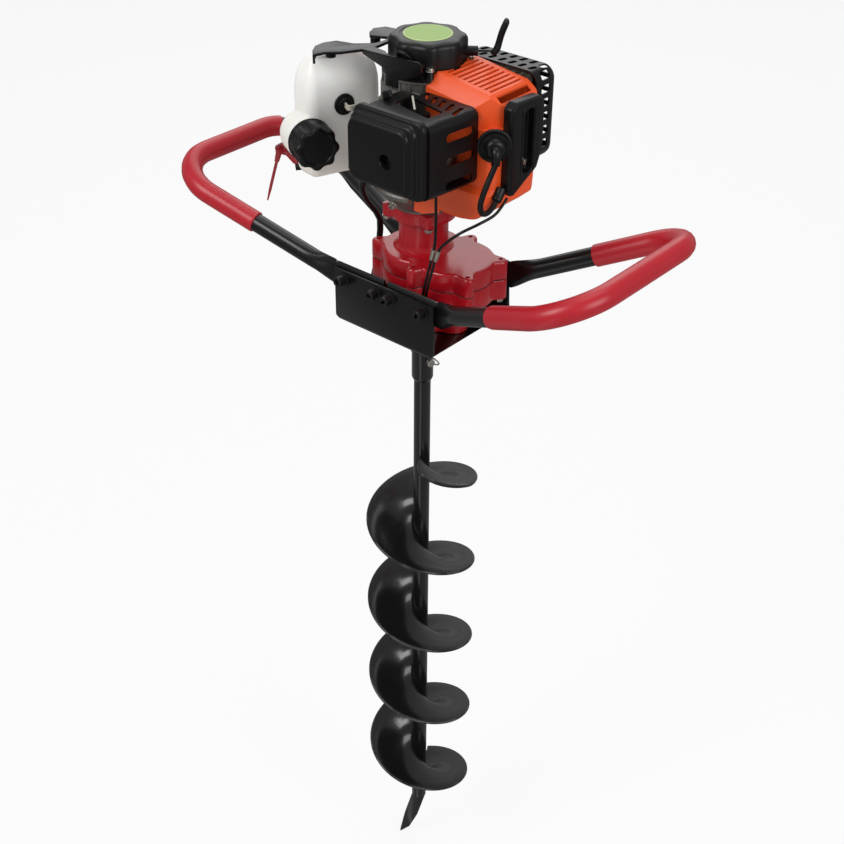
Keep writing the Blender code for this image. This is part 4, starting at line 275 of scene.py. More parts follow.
def skinned(name, rings):
    """A closed skin over a stack of rings: a disc extruded once for each ring, its edges then set in place."""
    count = len(rings[0])
    rest()
    bpy.ops.mesh.primitive_circle_add(vertices=count, radius=1, fill_type="NGON", enter_editmode=True)
    bpy.ops.mesh.select_all(action="SELECT")
    for _ in rings[1:]:
        bpy.ops.mesh.extrude_region_move(TRANSFORM_OT_translate={"value": (0, 0, 1)})
    bpy.ops.object.mode_set(mode="OBJECT")
    piece = bpy.context.object
    piece.name = name
    for vertex in piece.data.vertices:
        turn = round(atan2(vertex.co.y, vertex.co.x) / (2 * pi) * count) % count
        vertex.co = rings[round(vertex.co.z)][turn]
    bpy.ops.object.mode_set(mode="EDIT")
    bpy.ops.mesh.select_all(action="SELECT")
    bpy.ops.mesh.normals_make_consistent(inside=False)
    bpy.ops.object.mode_set(mode="OBJECT")
    return piece


FROM_ABOVE, FROM_FRONT, FROM_RIGHT = (0, 1, 2), (0, 2, 1), (2, 0, 1)


def layered(name, seen_from, layers):
    """A closed skin through (level, outline) layers, whose outlines are drawn as seen from one side."""
    return skinned(name, [
        [[(*point, level)[k] for k in seen_from] for point in outline] for level, outline in layers
    ])


def turned(name, profile, count=48, squash=1.0):
    """A lathe-turned form from (radius, height) pairs."""
    angles = [2 * pi * k / count for k in range(count)]
    return skinned(name, [[(r * cos(a), r * sin(a) * squash, z) for a in angles] for r, z in profile])


def cut(piece, *cutters):
    """Take cutters out of a piece."""
    for cutter in cutters:
        pick(piece)
        modify(piece, "BOOLEAN", operation="DIFFERENCE", solver="EXACT", object=cutter)
        bpy.data.objects.remove(cutter)
    return piece


def arc(centre, radius, start, end, count):
    """Points on a part of a circle, its angles in degrees."""
    angles = [radians(start + (end - start) * k / (count - 1)) for k in range(count)]
    return [(centre[0] + radius * cos(a), centre[1] + radius * sin(a)) for a in angles]


def mirrored(side):
    return [(-y, z) for y, z in reversed(side)]


black_enamel = Finish(
    "black_enamel", "black_paint", (14, 14, 15), 0.3, Specular_IOR_Level=0.3, Coat_Weight=0.35,
    Coat_Roughness=0.1, gloss=(0.26, 0.1, 30, 4), grain=(420, 2, 0.1, 0.0003),
)
HALF_WIDTH, HALF_LENGTH, SIDE_TOP, PLATE, BEND = 74.3, 78.5, 72, 4, 6
outside = [(HALF_WIDTH, SIDE_TOP)] + arc((HALF_WIDTH - BEND, BEND), BEND, 0, -90, 7)
inside = [(PLATE - HALF_WIDTH, SIDE_TOP)] + arc((BEND - HALF_WIDTH, BEND), BEND - PLATE, 180, 270, 4)
profile = outside + mirrored(outside) + inside + mirrored(inside)
channel = layered("channel", FROM_RIGHT, [(x, profile) for x in (-HALF_LENGTH, HALF_LENGTH)])
for end in (-1, 1):
    wedge = [(end * 71, -1), (end * 80, -1), (end * 80, 8)]
    cut(channel, layered("corner", FROM_FRONT, [(y, wedge) for y in (-90, 90)]))
cut(channel, turned("shaft_opening", [(24, -10), (24, 10)], 64))
settle(rounded(channel, 0.7, 2, 40), black_enamel, "bracket")


# The two handles: 23 mm steel tube, bent round and pressed flat over its last
# 80 mm where it is bolted to the bracket. The same gloss black enamel, with a
# red rubber sleeve over the outer half of each.
def tube(name, route, radius, sides=3):
    """A round bar or hose along a route, with closed ends."""
    rest()
    bpy.ops.curve.primitive_nurbs_path_add()
    bar = bpy.context.object
    bar.name = name
    bar.data.splines.clear()
    line = bar.data.splines.new("POLY")
    line.points.add(len(route) - 1)
    for point, place in zip(line.points, route):
        point.co = (*place, 1.0)
    bar.data.dimensions = "3D"
    bar.data.twist_mode = "MINIMUM"
    bar.data.bevel_depth = radius
    bar.data.bevel_resolution = sides
    bar.data.use_fill_caps = True
    bpy.ops.object.convert(target="MESH")
    bpy.ops.object.mode_set(mode="EDIT")
    bpy.ops.mesh.select_all(action="SELECT")
    bpy.ops.mesh.remove_doubles(threshold=0.005)
    bpy.ops.mesh.normals_make_consistent(inside=False)
    bpy.ops.object.mode_set(mode="OBJECT")
    return bar


def straight(start, stop, spacing):
    steps = max(1, ceil((stop - start).length / spacing))
    return [start.lerp(stop, k / steps) for k in range(steps)]


def bent(corners, radius, spacing):
    """Points along straight runs joined by round bends."""
    corners = [Vector(c) for c in corners]
    route, start = [], corners[0]
    for before, here, after in zip(corners, corners[1:], corners[2:]):
        back, on = (before - here).normalized(), (after - here).normalized()
        half = back.angle(on) / 2
        centre = here + (back + on).normalized() * radius / sin(half)
        stop, end = here + back * radius / tan(half), here + on * radius / tan(half)
        axis = (stop - centre).cross(end - centre).normalized()
        steps = max(4, ceil((pi - 2 * half) * radius / spacing))
        turn = (pi - 2 * half) / steps
        route += straight(start, stop, spacing)
        route += [centre + Matrix.Rotation(turn * k, 3, axis) @ (stop - centre) for k in range(steps)]
        start = end
    return route + straight(start, corners[-1], spacing) + [corners[-1]]


TUBE = 11.5
FLAT_Y, FLAT_END, FLAT_THICK, FLAT_HIGH = 66.75, 82, 3.25, 17
ROUND_AGAIN, SQUEEZED_OVER = 118, 38
BOLT_HEIGHT = 61
LEFT_HANDLE, RIGHT_HANDLE = (-1, 325.6, 118, 144.6), (1, 308, 136, 170)


def handle_route(side, reach, half_width, rise):
    front = [(3, -FLAT_Y, BOLT_HEIGHT), (FLAT_END, -FLAT_Y, BOLT_HEIGHT), (reach, -half_width, rise)]
    flat = [Vector(front[0]).lerp(Vector(front[1]), k / 12) for k in range(12)]
    outer = bent([front[1], front[2], (reach, half_width, rise), (FLAT_END, FLAT_Y, BOLT_HEIGHT)], 56, 5)
    route = flat + outer + [Vector((p.x, -p.y, p.z)) for p in reversed(flat)]
    return [Vector((p.x * side, p.y, p.z)) for p in route]


def press_flat(bar, side, reach, half_width, rise):
    """Squeeze the tube's ends between two dies: 6.5 mm thick and 34 mm high, round again after 36 mm."""
    for vertex in bar.data.vertices:
        x = vertex.co.x * side
        share = min(1.0, max(0, (ROUND_AGAIN - x) / SQUEEZED_OVER))
        if not share:
            continue
        share = share * share * (3 - 2 * share)
        along = max(0, (x - FLAT_END) / (reach - FLAT_END))
        middle_y = (FLAT_Y + (half_width - FLAT_Y) * along) * (1 if vertex.co.y > 0 else -1)
        middle_z = BOLT_HEIGHT + (rise - BOLT_HEIGHT) * along
        half = FLAT_THICK * share + TUBE * (1 - share)
        vertex.co.y = middle_y + (vertex.co.y - middle_y) * half / TUBE
        vertex.co.z = middle_z + (vertex.co.z - middle_z) * (1 + share * (FLAT_HIGH / TUBE - 1))


def stretch(route, start, end):
    """The part of a route between two distances along it."""
    along, held = 0, []
    for before, here in zip(route, route[1:]):
        step = (here - before).length
        for edge in (start, end):
            if along < edge <= along + step:
                held.append(before.lerp(here, (edge - along) / step))
        along += step
        if start + 1 < along < end - 1:
            held.append(here)
    return held


grip_rubber = Finish(
    "red_grip_rubber", "red_grip", (186, 28, 42), 0.34, Specular_IOR_Level=0.5, grain=(900, 2, 0.12, 0.0002),
)
grip_rubber.tint(grip_rubber.noise(22, 3), (178, 22, 36), (192, 32, 46))
for hand, shape, span in (("left", LEFT_HANDLE, (201, 500)), ("right", RIGHT_HANDLE, (196, 667))):
    route = handle_route(*shape)
    bar = tube("handle_tube_" + hand, route, TUBE, 6)
    press_flat(bar, *shape)
    settle(bar, black_enamel, "handle_" + hand)
    sleeve = tube("grip_sleeve_" + hand, stretch(route, *span), TUBE + 2, 6)
    settle(rounded(sleeve, 0.9, 3, 60), grip_rubber, "grip_" + hand)


# Eight socket-head cap screws clamp the handle ends: blackened steel, each with a
# washer outside and a nut inside. One is made, and the others are copies of it.
def prism(sides, radius, depth, middle, edge):
    """A nut or a screw head with several sides, its edges rounded."""
    rest()
    bpy.ops.mesh.primitive_cylinder_add(vertices=sides, radius=radius, depth=depth, location=(0, 0, middle))
    made = bpy.context.object
    bpy.ops.object.transform_apply(location=True, rotation=True, scale=True)
    return rounded(made, edge)


def stood(piece, place, axis):
    """Stand a turned piece at a place with its own Z along an axis."""
    turn = Vector(axis).to_track_quat("Z", "Y").to_matrix().to_4x4()
    piece.data.transform(Matrix.Translation(Vector(place)) @ turn)
    return piece


def welded(piece, *others):
    """Make one object of several."""
    pick(piece)
    for other in others:
        other.select_set(True)
    bpy.ops.object.join()
    return piece


def copied(piece, name, transform):
    twin = bpy.data.objects.new(name, piece.data.copy())
    bpy.context.scene.collection.objects.link(twin)
    twin.data.transform(transform)
    return twin


black_oxide = Finish("black_oxide", "black_steel", (40, 40, 42), 0.34, 0.6, gloss=(0.28, 0.16, 160, 3))

cap_screw = turned("cap_screw", [
    (5.6, 1.6), (6.8, 1.6), (6.8, 11.8), (6.1, 12.6), (4, 12.6),
], 40)
cut(cap_screw, turned("hex_key", [(3.6, 7), (3.6, 15)], 6))
washer = turned("washer", [(8, 0.2), (8.6, 0.5), (8.6, 1.4), (8, 1.7)], 40)
shank = turned("shank", [(4, -20), (4, 0.4)], 20)
welded(cap_screw, washer, shank, prism(6, 7.2, 6.2, -14.2, 0.5))
bolt_places = [(x, side) for side in (-1, 1) for x in (-63, -11.5, 11.5, 63)]
for number, (x, side) in enumerate(bolt_places, 1):
    screw = copied(cap_screw, "handle_screw_%d" % number, Matrix.Rotation(0.7 * number, 4, "Z"))
    stood(screw, (x, side * HALF_WIDTH, BOLT_HEIGHT), (0, side, 0))
    settle(screw, black_oxide, "handle_bolt_%d" % number)
bpy.data.objects.remove(cap_screw)


# The gearbox: two sand-textured aluminium castings on a dark gasket line, sprayed
# thick gloss red, with six bosses for the screws that hold them together. The
# neck above carries the clutch and a flange with four ears for the engine.
def discs_outline(centre, discs, count, smooth=0):
    """Outer edge of overlapping discs round a centre, its inner corners smoothed."""
    reach = []
    for k in range(count):
        ray = Vector((cos(2 * pi * k / count), sin(2 * pi * k / count)))
        far = 0
        for x, y, radius in discs:
            to = Vector((x, y)) - Vector(centre)
            off = to.length_squared - to.dot(ray) ** 2
            if off < radius * radius:
                far = max(far, to.dot(ray) + sqrt(radius * radius - off))
        reach.append(far)
    for _ in range(smooth):
        reach = [(reach[k - 1] + 2 * reach[k] + reach[(k + 1) % count]) / 4 for k in range(count)]
    return [(centre[0] + r * cos(2 * pi * k / count), centre[1] + r * sin(2 * pi * k / count))
            for k, r in enumerate(reach)]


def drawn_in(outline, distance):
    """Every side of an outline moved inwards."""
    moved = []
    for k, here in enumerate(outline):
        before, after = Vector(outline[k - 1]), Vector(outline[(k + 1) % len(outline)])
        run = (after - before).normalized()
        moved.append((here[0] - run.y * distance, here[1] + run.x * distance))
    return moved


def stacked(name, outline, levels):
    """An outline raised through (height, inset) levels."""
    return layered(name, FROM_ABOVE, [(z, drawn_in(outline, inset)) for z, inset in levels])


red_enamel = Finish(
    "red_enamel", "red_paint", (172, 18, 30), 0.26, Specular_IOR_Level=0.35, Coat_Weight=0.35, Coat_Roughness=0.14,
)
red_enamel.relief(red_enamel.noise(260, 3) * 0.7 + red_enamel.noise(60, 2) * 0.6, 0.2, 0.0006)
red_enamel.tint(red_enamel.noise(16, 3), (160, 14, 26), (182, 22, 34))
gasket_fibre = Finish("gasket_fibre", "gasket_paper", (34, 30, 30), 0.85)

bosses = [(-51, -24), (-51, 24), (30, -53), (30, 53), (94, -31), (94, 31)]
casting = [(0, 0, 50), (48, 0, 49)] + [(x, y, 8.8) for x, y in bosses]
casting = discs_outline((24, 0), casting, 240, 4)
foot = discs_outline((12, 0), [(0, 0, 47.5), (48, 0, 18.5)], 160, 8)
lower = stacked("gearbox_lower_shape", casting, [
    (50, 1.2), (50.4, 0.4), (51.2, 0), (75.2, 0), (75.8, 0.3), (76, 0.8),
])
barrel = stacked("gearbox_foot", foot, [(4.3, 0.8), (5, 0), (48.2, 0), (50.8, -2)])
settle(welded(lower, barrel), red_enamel, "gearbox_lower")
gasket = stacked("gasket_line", casting, [(75.9, 0.7), (77.3, 0.7)])
settle(gasket, gasket_fibre, "gearbox_gasket")

upper = stacked("gearbox_upper_shape", casting, [
    (77.2, 0.8), (77.4, 0.3), (78, 0), (97, 0), (99, 0.5), (100.3, 1.6),
    (101, 3.4), (101, 4.6),
])
neck = turned("clutch_neck", [
    (40, 98.5), (37.2, 100.8), (33.8, 102), (31.4, 104.2), (30.2, 108), (29.8, 112),
    (29.8, 136), (30.2, 139), (31.6, 141.2), (34, 142.4), (38.5, 143.2),
], 96)
ears = [radians(a) for a in (-42, 48, 138, -132)]
flange = [(0, 0, 39.5)] + [(42.5 * cos(a), 42.5 * sin(a), 6.8) for a in ears]
flange = stacked("clutch_flange", discs_outline((0, 0), flange, 192, 3), [
    (142.4, 1.2), (142.8, 0.4), (143.6, 0), (157.2, 0), (157.8, 0.3), (158, 1),
])
cut(upper, *[stood(turned("screw_hole", [(2.7, -4), (2.7, 10)], 20), (x, y, 100.8), (0, 0, 1))
             for x, y in bosses])
welded(upper, neck, flange)
settle(upper, red_enamel, "gearbox_upper", angle=28)


# Six zinc-plated hexagon screws are driven up into the bosses, and four more hold
# the engine on the ears of the flange: bright plated steel.
zinc = Finish("zinc_plate", "bright_steel", (198, 194, 184), 0.3, 1.0, gloss=(0.24, 0.18, 220, 3))
hexagon = prism(6, 4.8, 4, -3, 0.5)
collar = turned("collar", [(5.2, -1.1), (5.6, -0.9), (5.6, -0.2), (5.4, 0)], 28)
thread = turned("thread", [(2.5, -1), (2.5, 46.5)], 16)
welded(hexagon, collar, thread)
for number, (x, y) in enumerate(bosses, 1):
    screw = copied(hexagon, "case_screw_%d" % number, Matrix.Rotation(0.9 * number, 4, "Z"))
    stood(screw, (x, y, 49.8), (0, 0, 1))
    settle(screw, zinc, "case_bolt_%d" % number)
for number, a in enumerate(ears, 1):
    low_head = Matrix.Scale(0.3, 4, (0, 0, 1)) @ Matrix.Rotation(a, 4, "Z")
    screw = copied(hexagon, "flange_screw_%d" % number, low_head)
    for vertex in screw.data.vertices:
        if vertex.co.z < 0:
            vertex.co.z *= 3.0
    stood(screw, (44.2 * cos(a), 44.2 * sin(a), 142.4), (0, 0, 1))
    settle(screw, zinc)
bpy.data.objects.remove(hexagon)


# Gears, shafts, bearings and clutch run inside the castings in grease: cut and
# ground steel, kept as they were drawn and seen only through a cutaway.
ground_steel = Finish("ground_steel", "", (176, 176, 172), 0.28, 1.0)
ground_steel.feed("Roughness", 0.22 + ground_steel.noise(300, 2, (1, 1, 8)) * 0.2)
clutch_lining = Finish("clutch_lining", "", (62, 58, 54), 0.7)
for node in ("output_shaft", "countershaft", "clutch_drum", "output_bearing", "input_bearing", "crankshaft"):
    coat(ground_steel, solids[node])
coat(clutch_lining, solids["clutch_shoes"])


# The bit: a steel tube with a thicker socket at the top for the gearbox shaft,
# sprayed gloss black. The socket is welded on, with a bead round its lower end.
bit_enamel = Finish(
    "bit_enamel", "black_paint", (14, 14, 15), 0.26, Specular_IOR_Level=0.35, Coat_Weight=0.8,
    Coat_Roughness=0.07, grain=(300, 2, 0.1, 0.0004),
)
stem = turned("bit_stem", [
    (9.8, -862), (10.8, -861), (10.8, -90.5), (12, -89.3), (12.8, -87.2), (13.6, -85.5),
    (13.8, -84.5), (13.8, -5), (13.2, -4.2), (10.4, -4.2), (10.4, -60),
], 56)
settle(stem, bit_enamel, "bit_tube", body="auger")


# The flight: 4 mm plate pressed to a screw of four and a half turns and welded to
# the tube. It is sprayed with the bit, and its rim is worn towards bare steel.
FLIGHT_START = radians(-60)
FLIGHT_PITCH = 140.25
FLIGHT_TOP = -202.5
TURNS = 4.5
rest()
bpy.ops.mesh.primitive_circle_add(vertices=16, radius=1, fill_type="NOTHING")
flight = bpy.context.object
flight.name = "flight_plate"
section = [
    (10.8, 0), (30, 0), (60, 0), (73.5, 0), (74.6, -0.6), (75, -1.6),
    (75, -2.6), (74.6, -3.5), (73.5, -4), (60, -4), (30, -4),
    (10.8, -4), (10.4, -3.2), (10.4, -2.2), (10.4, -1.4), (10.4, -0.6),
]
for vertex in flight.data.vertices:
    turn = round(atan2(vertex.co.y, vertex.co.x) / (2 * pi) * 16) % 16
    radius, drop = section[turn]
    vertex.co = (radius * cos(FLIGHT_START), radius * sin(FLIGHT_START), FLIGHT_TOP + drop)
modify(flight, "SCREW", angle=2 * pi * TURNS, screw_offset=-FLIGHT_PITCH * TURNS, steps=432, render_steps=432,
       axis="Z", use_smooth_shade=True)
bpy.ops.object.mode_set(mode="EDIT")
bpy.ops.mesh.select_all(action="SELECT")
bpy.ops.mesh.fill_holes(sides=0)
bpy.ops.mesh.normals_make_consistent(inside=False)
bpy.ops.object.mode_set(mode="OBJECT")
RUN_IN = radians(70)
TIP_WIDTH, WIDTH, SEAT = 22, 63.9, 11.1
for vertex in flight.data.vertices:
    x, y, z = vertex.co
    turn = (atan2(y, x) - FLIGHT_START) % (2 * pi)
    if turn > radians(350):
        turn = 0
    if turn < RUN_IN and z > FLIGHT_TOP - FLIGHT_PITCH * turn / (2 * pi) - 6:
        radius = sqrt(x * x + y * y)
        wide = TIP_WIDTH + (WIDTH - TIP_WIDTH) * sqrt(turn / RUN_IN)
        drawn = (SEAT + (radius - SEAT) * wide / WIDTH) / radius
        vertex.co.x, vertex.co.y = x * drawn, y * drawn
flight_enamel = Finish(
    "flight_enamel", "black_paint", (18, 18, 18), 0.24, Specular_IOR_Level=0.5, Coat_Weight=0.2,
    Coat_Roughness=0.12,
)
radius = (flight_enamel.x * flight_enamel.x + flight_enamel.y * flight_enamel.y) ** 0.5
worn = radius.ramp(0.0712, 0.0752) * flight_enamel.noise(45, 5).ramp(0.4, 0.66)
flight_enamel.tint(worn, (18, 18, 18), (74, 70, 66))
flight_enamel.feed("Roughness", 0.18 + worn * 0.3 + flight_enamel.noise(26, 4) * 0.08)
flight_enamel.feed("Coat Weight", 0.2 - worn * 0.15)
flight_enamel.relief(flight_enamel.noise(70, 3) + flight_enamel.noise(320, 2) * 0.25, 0.16, 0.001)
settle(flight, flight_enamel, "bit_flight", body="auger", angle=40)


# The point: a flat bar welded across the end of the tube and ground to a chisel.
# Sprayed black with the bit, thin on the ground edges.
def refined(node, edge, segments=2):
    """A copy of a solid with its facets merged, brought to millimetres, and its edges rounded."""
    piece = copied(solids[node], node + "_shape", Matrix())
    pick(piece)
    bpy.ops.object.mode_set(mode="EDIT")
    bpy.ops.mesh.select_all(action="SELECT")
    bpy.ops.mesh.remove_doubles(threshold=0.1 * MM)
    bpy.ops.mesh.dissolve_limited(angle_limit=radians(1.5))
    bpy.ops.object.mode_set(mode="OBJECT")
    piece.data.transform(Matrix.Scale(1 / MM, 4))
    return rounded(piece, edge, segments) if edge else piece


point_enamel = Finish(
    "point_enamel", "black_paint", (28, 28, 30), 0.32, Coat_Weight=0.3, grain=(200, 3, 0.2, 0.0006),
)
thin = point_enamel.noise(140, 4).ramp(0.56, 0.72) * (-1 * point_enamel.z).ramp(0.925, 0.947)
point_enamel.tint(thin, (28, 28, 30), (96, 92, 86))
settle(refined("bit_point", 0.6), point_enamel, "bit_point", body="auger")


# The hitch pin: a plated cross pin through socket and shaft, kept in by a wire
# bow that snaps round the tube, so that the bit comes off without a tool.
PIN_HEIGHT = -58
pin_angle = radians(-15)
pin_axis = (cos(pin_angle), sin(pin_angle), 0)
pin = turned("hitch_pin_shape", [
    (3, -21.5), (3.8, -20.5), (3.8, 17), (5, 17.2), (5.2, 17.6), (5.2, 20),
    (4.6, 20.6),
], 32)
stood(pin, (0, 0, PIN_HEIGHT), pin_axis)
bow = []
for k in range(33):
    a = pi * k / 32
    reach = 19.2 * (1.0 + 0.1 * sin(a))
    bow.append(Vector((reach * cos(pin_angle + a), reach * sin(pin_angle + a), PIN_HEIGHT - 12 * sin(a))))
settle(welded(pin, tube("clip_wire", bow, 1.1, 3)), zinc, "hitch_pin", body="auger")


# The crankcase: pressure die-cast aluminium, a flared dish that sits on the gearbox
# flange and carries the block of the crank chamber. Bare metal, shot-blasted, with
# one plated screw on the front of the dish. The barrel behind the shroud is the same.
cast_metal = Finish("cast_aluminium", "cast_aluminium", (134, 130, 126), 0.46, 0.85, gloss=(0.4, 0.16, 60, 4))
cast_metal.relief(cast_metal.noise(520, 3) + cast_metal.noise(90, 3) * 0.6, 0.28, 0.0005)
settle(refined("crankcase", 1), cast_metal, "crankcase")
coat(cast_metal, solids["cylinder"])


def plated_screw(name, place, axis, radius, height, sides=6):
    """A plated screw head on its washer, with a socket in the top."""
    head = prism(sides, radius, height, height / 2, radius * 0.14)
    head.name = name
    cut(head, turned("socket", [(radius * 0.42, height * 0.45), (radius * 0.42, height * 1.5)], 12))
    welded(head, turned("rim", [
        (radius * 1.15, -0.4), (radius * 1.28, 0), (radius * 1.28, height * 0.12), (radius * 1.15, height * 0.2),
    ], 28))
    settle(stood(head, place, axis), zinc)


plated_screw("dish_screw", (1, -55.2, 172), (0, -1, -0.35), 4.2, 5)


# The engine shroud: injection-moulded orange nylon over the cylinder, with a
# louvred roof for the cooling air and a cheek that reaches round the crankcase.
# Fine spark-eroded grain from the mould, and slightly rounded edges all round.
orange_nylon = Finish(
    "orange_nylon", "orange_plastic", (240, 88, 34), 0.4, Specular_IOR_Level=0.45, grain=(1400, 2, 0.1, 0.0002),
)
orange_nylon.tint(orange_nylon.noise(14, 3), (234, 80, 30), (244, 94, 38))


def block(centre, size, turn=Matrix()):
    """A plain block, to cut with or to start from."""
    rest()
    bpy.ops.mesh.primitive_cube_add(size=1)
    made = bpy.context.object
    made.data.transform(Matrix.Translation(Vector(centre)) @ turn @ Matrix.Diagonal((*size, 1)))
    return made


def plate_outline(x0, x1, y0, y1, corner, steps=10, inset=0):
    """A rectangle with round corners, anticlockwise."""
    x0, x1, y0, y1 = x0 + inset + corner, x1 - inset - corner, y0 + inset + corner, y1 - inset - corner
    middles = enumerate(((x1, y0), (x1, y1), (x0, y1), (x0, y0)))
    return [point for k, middle in middles for point in arc(middle, corner, 90 * k - 90, 90 * k, steps)]


def shroud_form(name, inset):
    """The moulding's outer form, or the room inside it: walls, sloping roof, end facet, cut front corner."""
    def ring(x0, x1, y0, y1, height):
        outline = plate_outline(x0, x1, y0, y1, 10 - inset, 10, inset)
        return [(x, y, height(x)) for x, y in outline]

    rings = [ring(x0, x1, y0, y1, lambda x: z - (10 if inset and z < 180 else 0)) for z, x0, x1, y0, y1 in (
        (178, 56, 92, -42, 43), (184, 50, 112, -47, 45),
        (197, 50, 127, -47, 45), (201, 35, 128, -47, 45),
        (216, 35, 129, -47, 45), (221, 35, 129, -38, 45),
        (288.5, 35, 129, -38, 45), (290, 26, 129, -38, 45),
    )]
    for x0, x1, y0, y1, drop in ((26, 129, -38, 45, 15), (32, 129, -25, 43, 0)):
        rings.append(ring(x0, x1, y0, y1, lambda x: 333.3 - 0.126 * (x - 32) - inset - drop))
    form = skinned(name, rings)
    facet = Matrix.Rotation(0.6435, 4, "Y")
    ridge = Vector((112, 0, 323.22 - inset))
    corner = Matrix.Rotation(radians(-50.6), 4, "Z")
    middle = Vector((115, -26.5, 388 - inset)) - corner @ Vector((inset, 0, 0))
    return cut(form, block(ridge + facet @ Vector((0, 0, 100)), (300, 300, 200), facet),
               block(middle + corner @ Vector((100, 0, 0)), (200, 300, 200), corner))


shroud = rounded(shroud_form("shroud_moulding", 0), 1.8, 3, 24)
cut(shroud, shroud_form("shroud_room", 2.4))
louvres = block((40.2, 9, 325), (3.4, 54, 50))
modify(louvres, "ARRAY", count=10, use_relative_offset=False, use_constant_offset=True,
       constant_offset_displace=(7.4, 0, 0))
cut(shroud, louvres, block((119.2, 9, 325), (7.6, 54, 60)),
    turned("fan_room", [(50.6, 282.9), (50.6, 324.6), (46.2, 324.6), (46.2, 365)], 96),
    block((22.5, 0, 248), (45, 64, 80)))
cheek_plan = [
    (25, 169.5), (38, 169.5), (62, 178.5), (62, 223.6), (44, 223.6), (32, 223.6),
    (25, 223.6), (25, 190),
]
cheek = rounded(layered("shroud_cheek", FROM_FRONT, [(y, cheek_plan) for y in (-47.1, -44.6)]), 0.7)
settle(welded(shroud, cheek), orange_nylon, "engine_shroud", angle=24)


# The spark plug's cap: a dished disc of black moulded rubber with a stub for the
# lead. The lead hangs in a loop and runs up into a grommet beside the end guard.
def flowing(points, spacing):
    """Points along a smooth line through the given ones."""
    points = [Vector(p) for p in points]
    padded = [points[0] * 2 - points[1]] + points + [points[-1] * 2 - points[-2]]
    route = [points[0]]
    for before, here, there, beyond in zip(padded, padded[1:], padded[2:], padded[3:]):
        steps = max(2, ceil((there - here).length / spacing))
        for k in range(1, steps + 1):
            t = k / steps
            route.append(0.5 * (
                2 * here + (there - before) * t + (2 * before - 5 * here + 4 * there - beyond) * t * t
                + (3 * here - before - 3 * there + beyond) * t ** 3
            ))
    return route


black_rubber = Finish(
    "black_rubber", "black_rubber", (12, 12, 13), 0.36, Specular_IOR_Level=0.35, grain=(700, 3, 0.1, 0.0002),
)
BOOT_CENTRE = Vector((132, -39.8, 277.4))
boot_out = Vector((cos(radians(-45)), sin(radians(-45)), 0))
boot = turned("spark_cap", [
    (9, -4), (10, -3.6), (10, -0.4), (17.8, 0), (18.8, 0.6), (19.1, 1.6),
    (19, 3), (18.4, 4.1), (17.4, 4.4), (16, 3.7), (14, 3.1), (12.4, 3.5),
    (11.4, 5.2), (10.7, 8.5), (10, 11.2), (8.5, 13), (6, 13.8), (2, 14),
], 56)
stood(boot, BOOT_CENTRE, boot_out)


def from_boot(out, down):
    return BOOT_CENTRE + boot_out * out - Vector((0, 0, down))


stub = [from_boot(10, 0), from_boot(16, 0.6), from_boot(18.6, 5), from_boot(18.6, 15)]
stub = tube("lead_stub", flowing(stub, 1.2), 5, 5)
rounded(stub, 0.8, 2, 60)
settle(welded(boot, stub), black_rubber, "spark_boot", angle=40)
lead = tube("lead_loop", flowing([
    from_boot(18.4, 8), from_boot(18.2, 14),
    (142.5, -58, 250), (140.2, -65, 234), (138.6, -69, 219), (138, -65, 208.5),
    (137, -55, 204.6), (135.2, -43, 206.5), (133.2, -33, 212), (132.5, -27.5, 217.5),
], 2), 3.3, 5)
grommet_run = [(133.6, -34.5, 210.8), (132.8, -29, 216), (132.2, -24, 222)]
entry = rounded(tube("lead_entry", flowing(grommet_run, 2), 5.8, 6), 1.2, 2, 60)
settle(welded(lead, entry), black_rubber, "spark_lead")
coat(Finish("plug_ceramic", "", (228, 224, 214), 0.3), solids["spark_plug"])


# The end guard: a black nylon shell over the end of the cylinder with a wide slot
# between two long ridges, held by one plated screw at the slot's lower end.
def corner_rounded(corners, radius, steps):
    """A polygon, anticlockwise, its corners turned into arcs."""
    outline = []
    for k, corner in enumerate(corners):
        here = Vector(corner)
        before = (Vector(corners[k - 1]) - here).normalized()
        after = (Vector(corners[(k + 1) % len(corners)]) - here).normalized()
        half = before.angle(after) / 2
        centre = here + (before + after).normalized() * radius / sin(half)
        first = here + before * radius / tan(half) - centre
        last = here + after * radius / tan(half) - centre
        sweep = (atan2(last.y, last.x) - atan2(first.y, first.x) + pi) % (2 * pi) - pi
        for step in range(steps):
            a = atan2(first.y, first.x) + sweep * step / (steps - 1)
            outline.append((centre.x + radius * cos(a), centre.y + radius * sin(a)))
    return outline


def rounded_slot(centre, along, through, length, width, depth, corner):
    """A block with round corners, lying along one direction and cutting in another."""
    along, through = Vector(along).normalized(), Vector(through).normalized()
    side = through.cross(along)
    a, b = length / 2, width / 2
    outline = corner_rounded([(-a, -b), (a, -b), (a, b), (-a, b)], corner, 6)
    return skinned("slot", [
        [Vector(centre) + along * a + side * b + through * d for a, b in outline] for d in (-depth / 2, depth / 2)
    ])


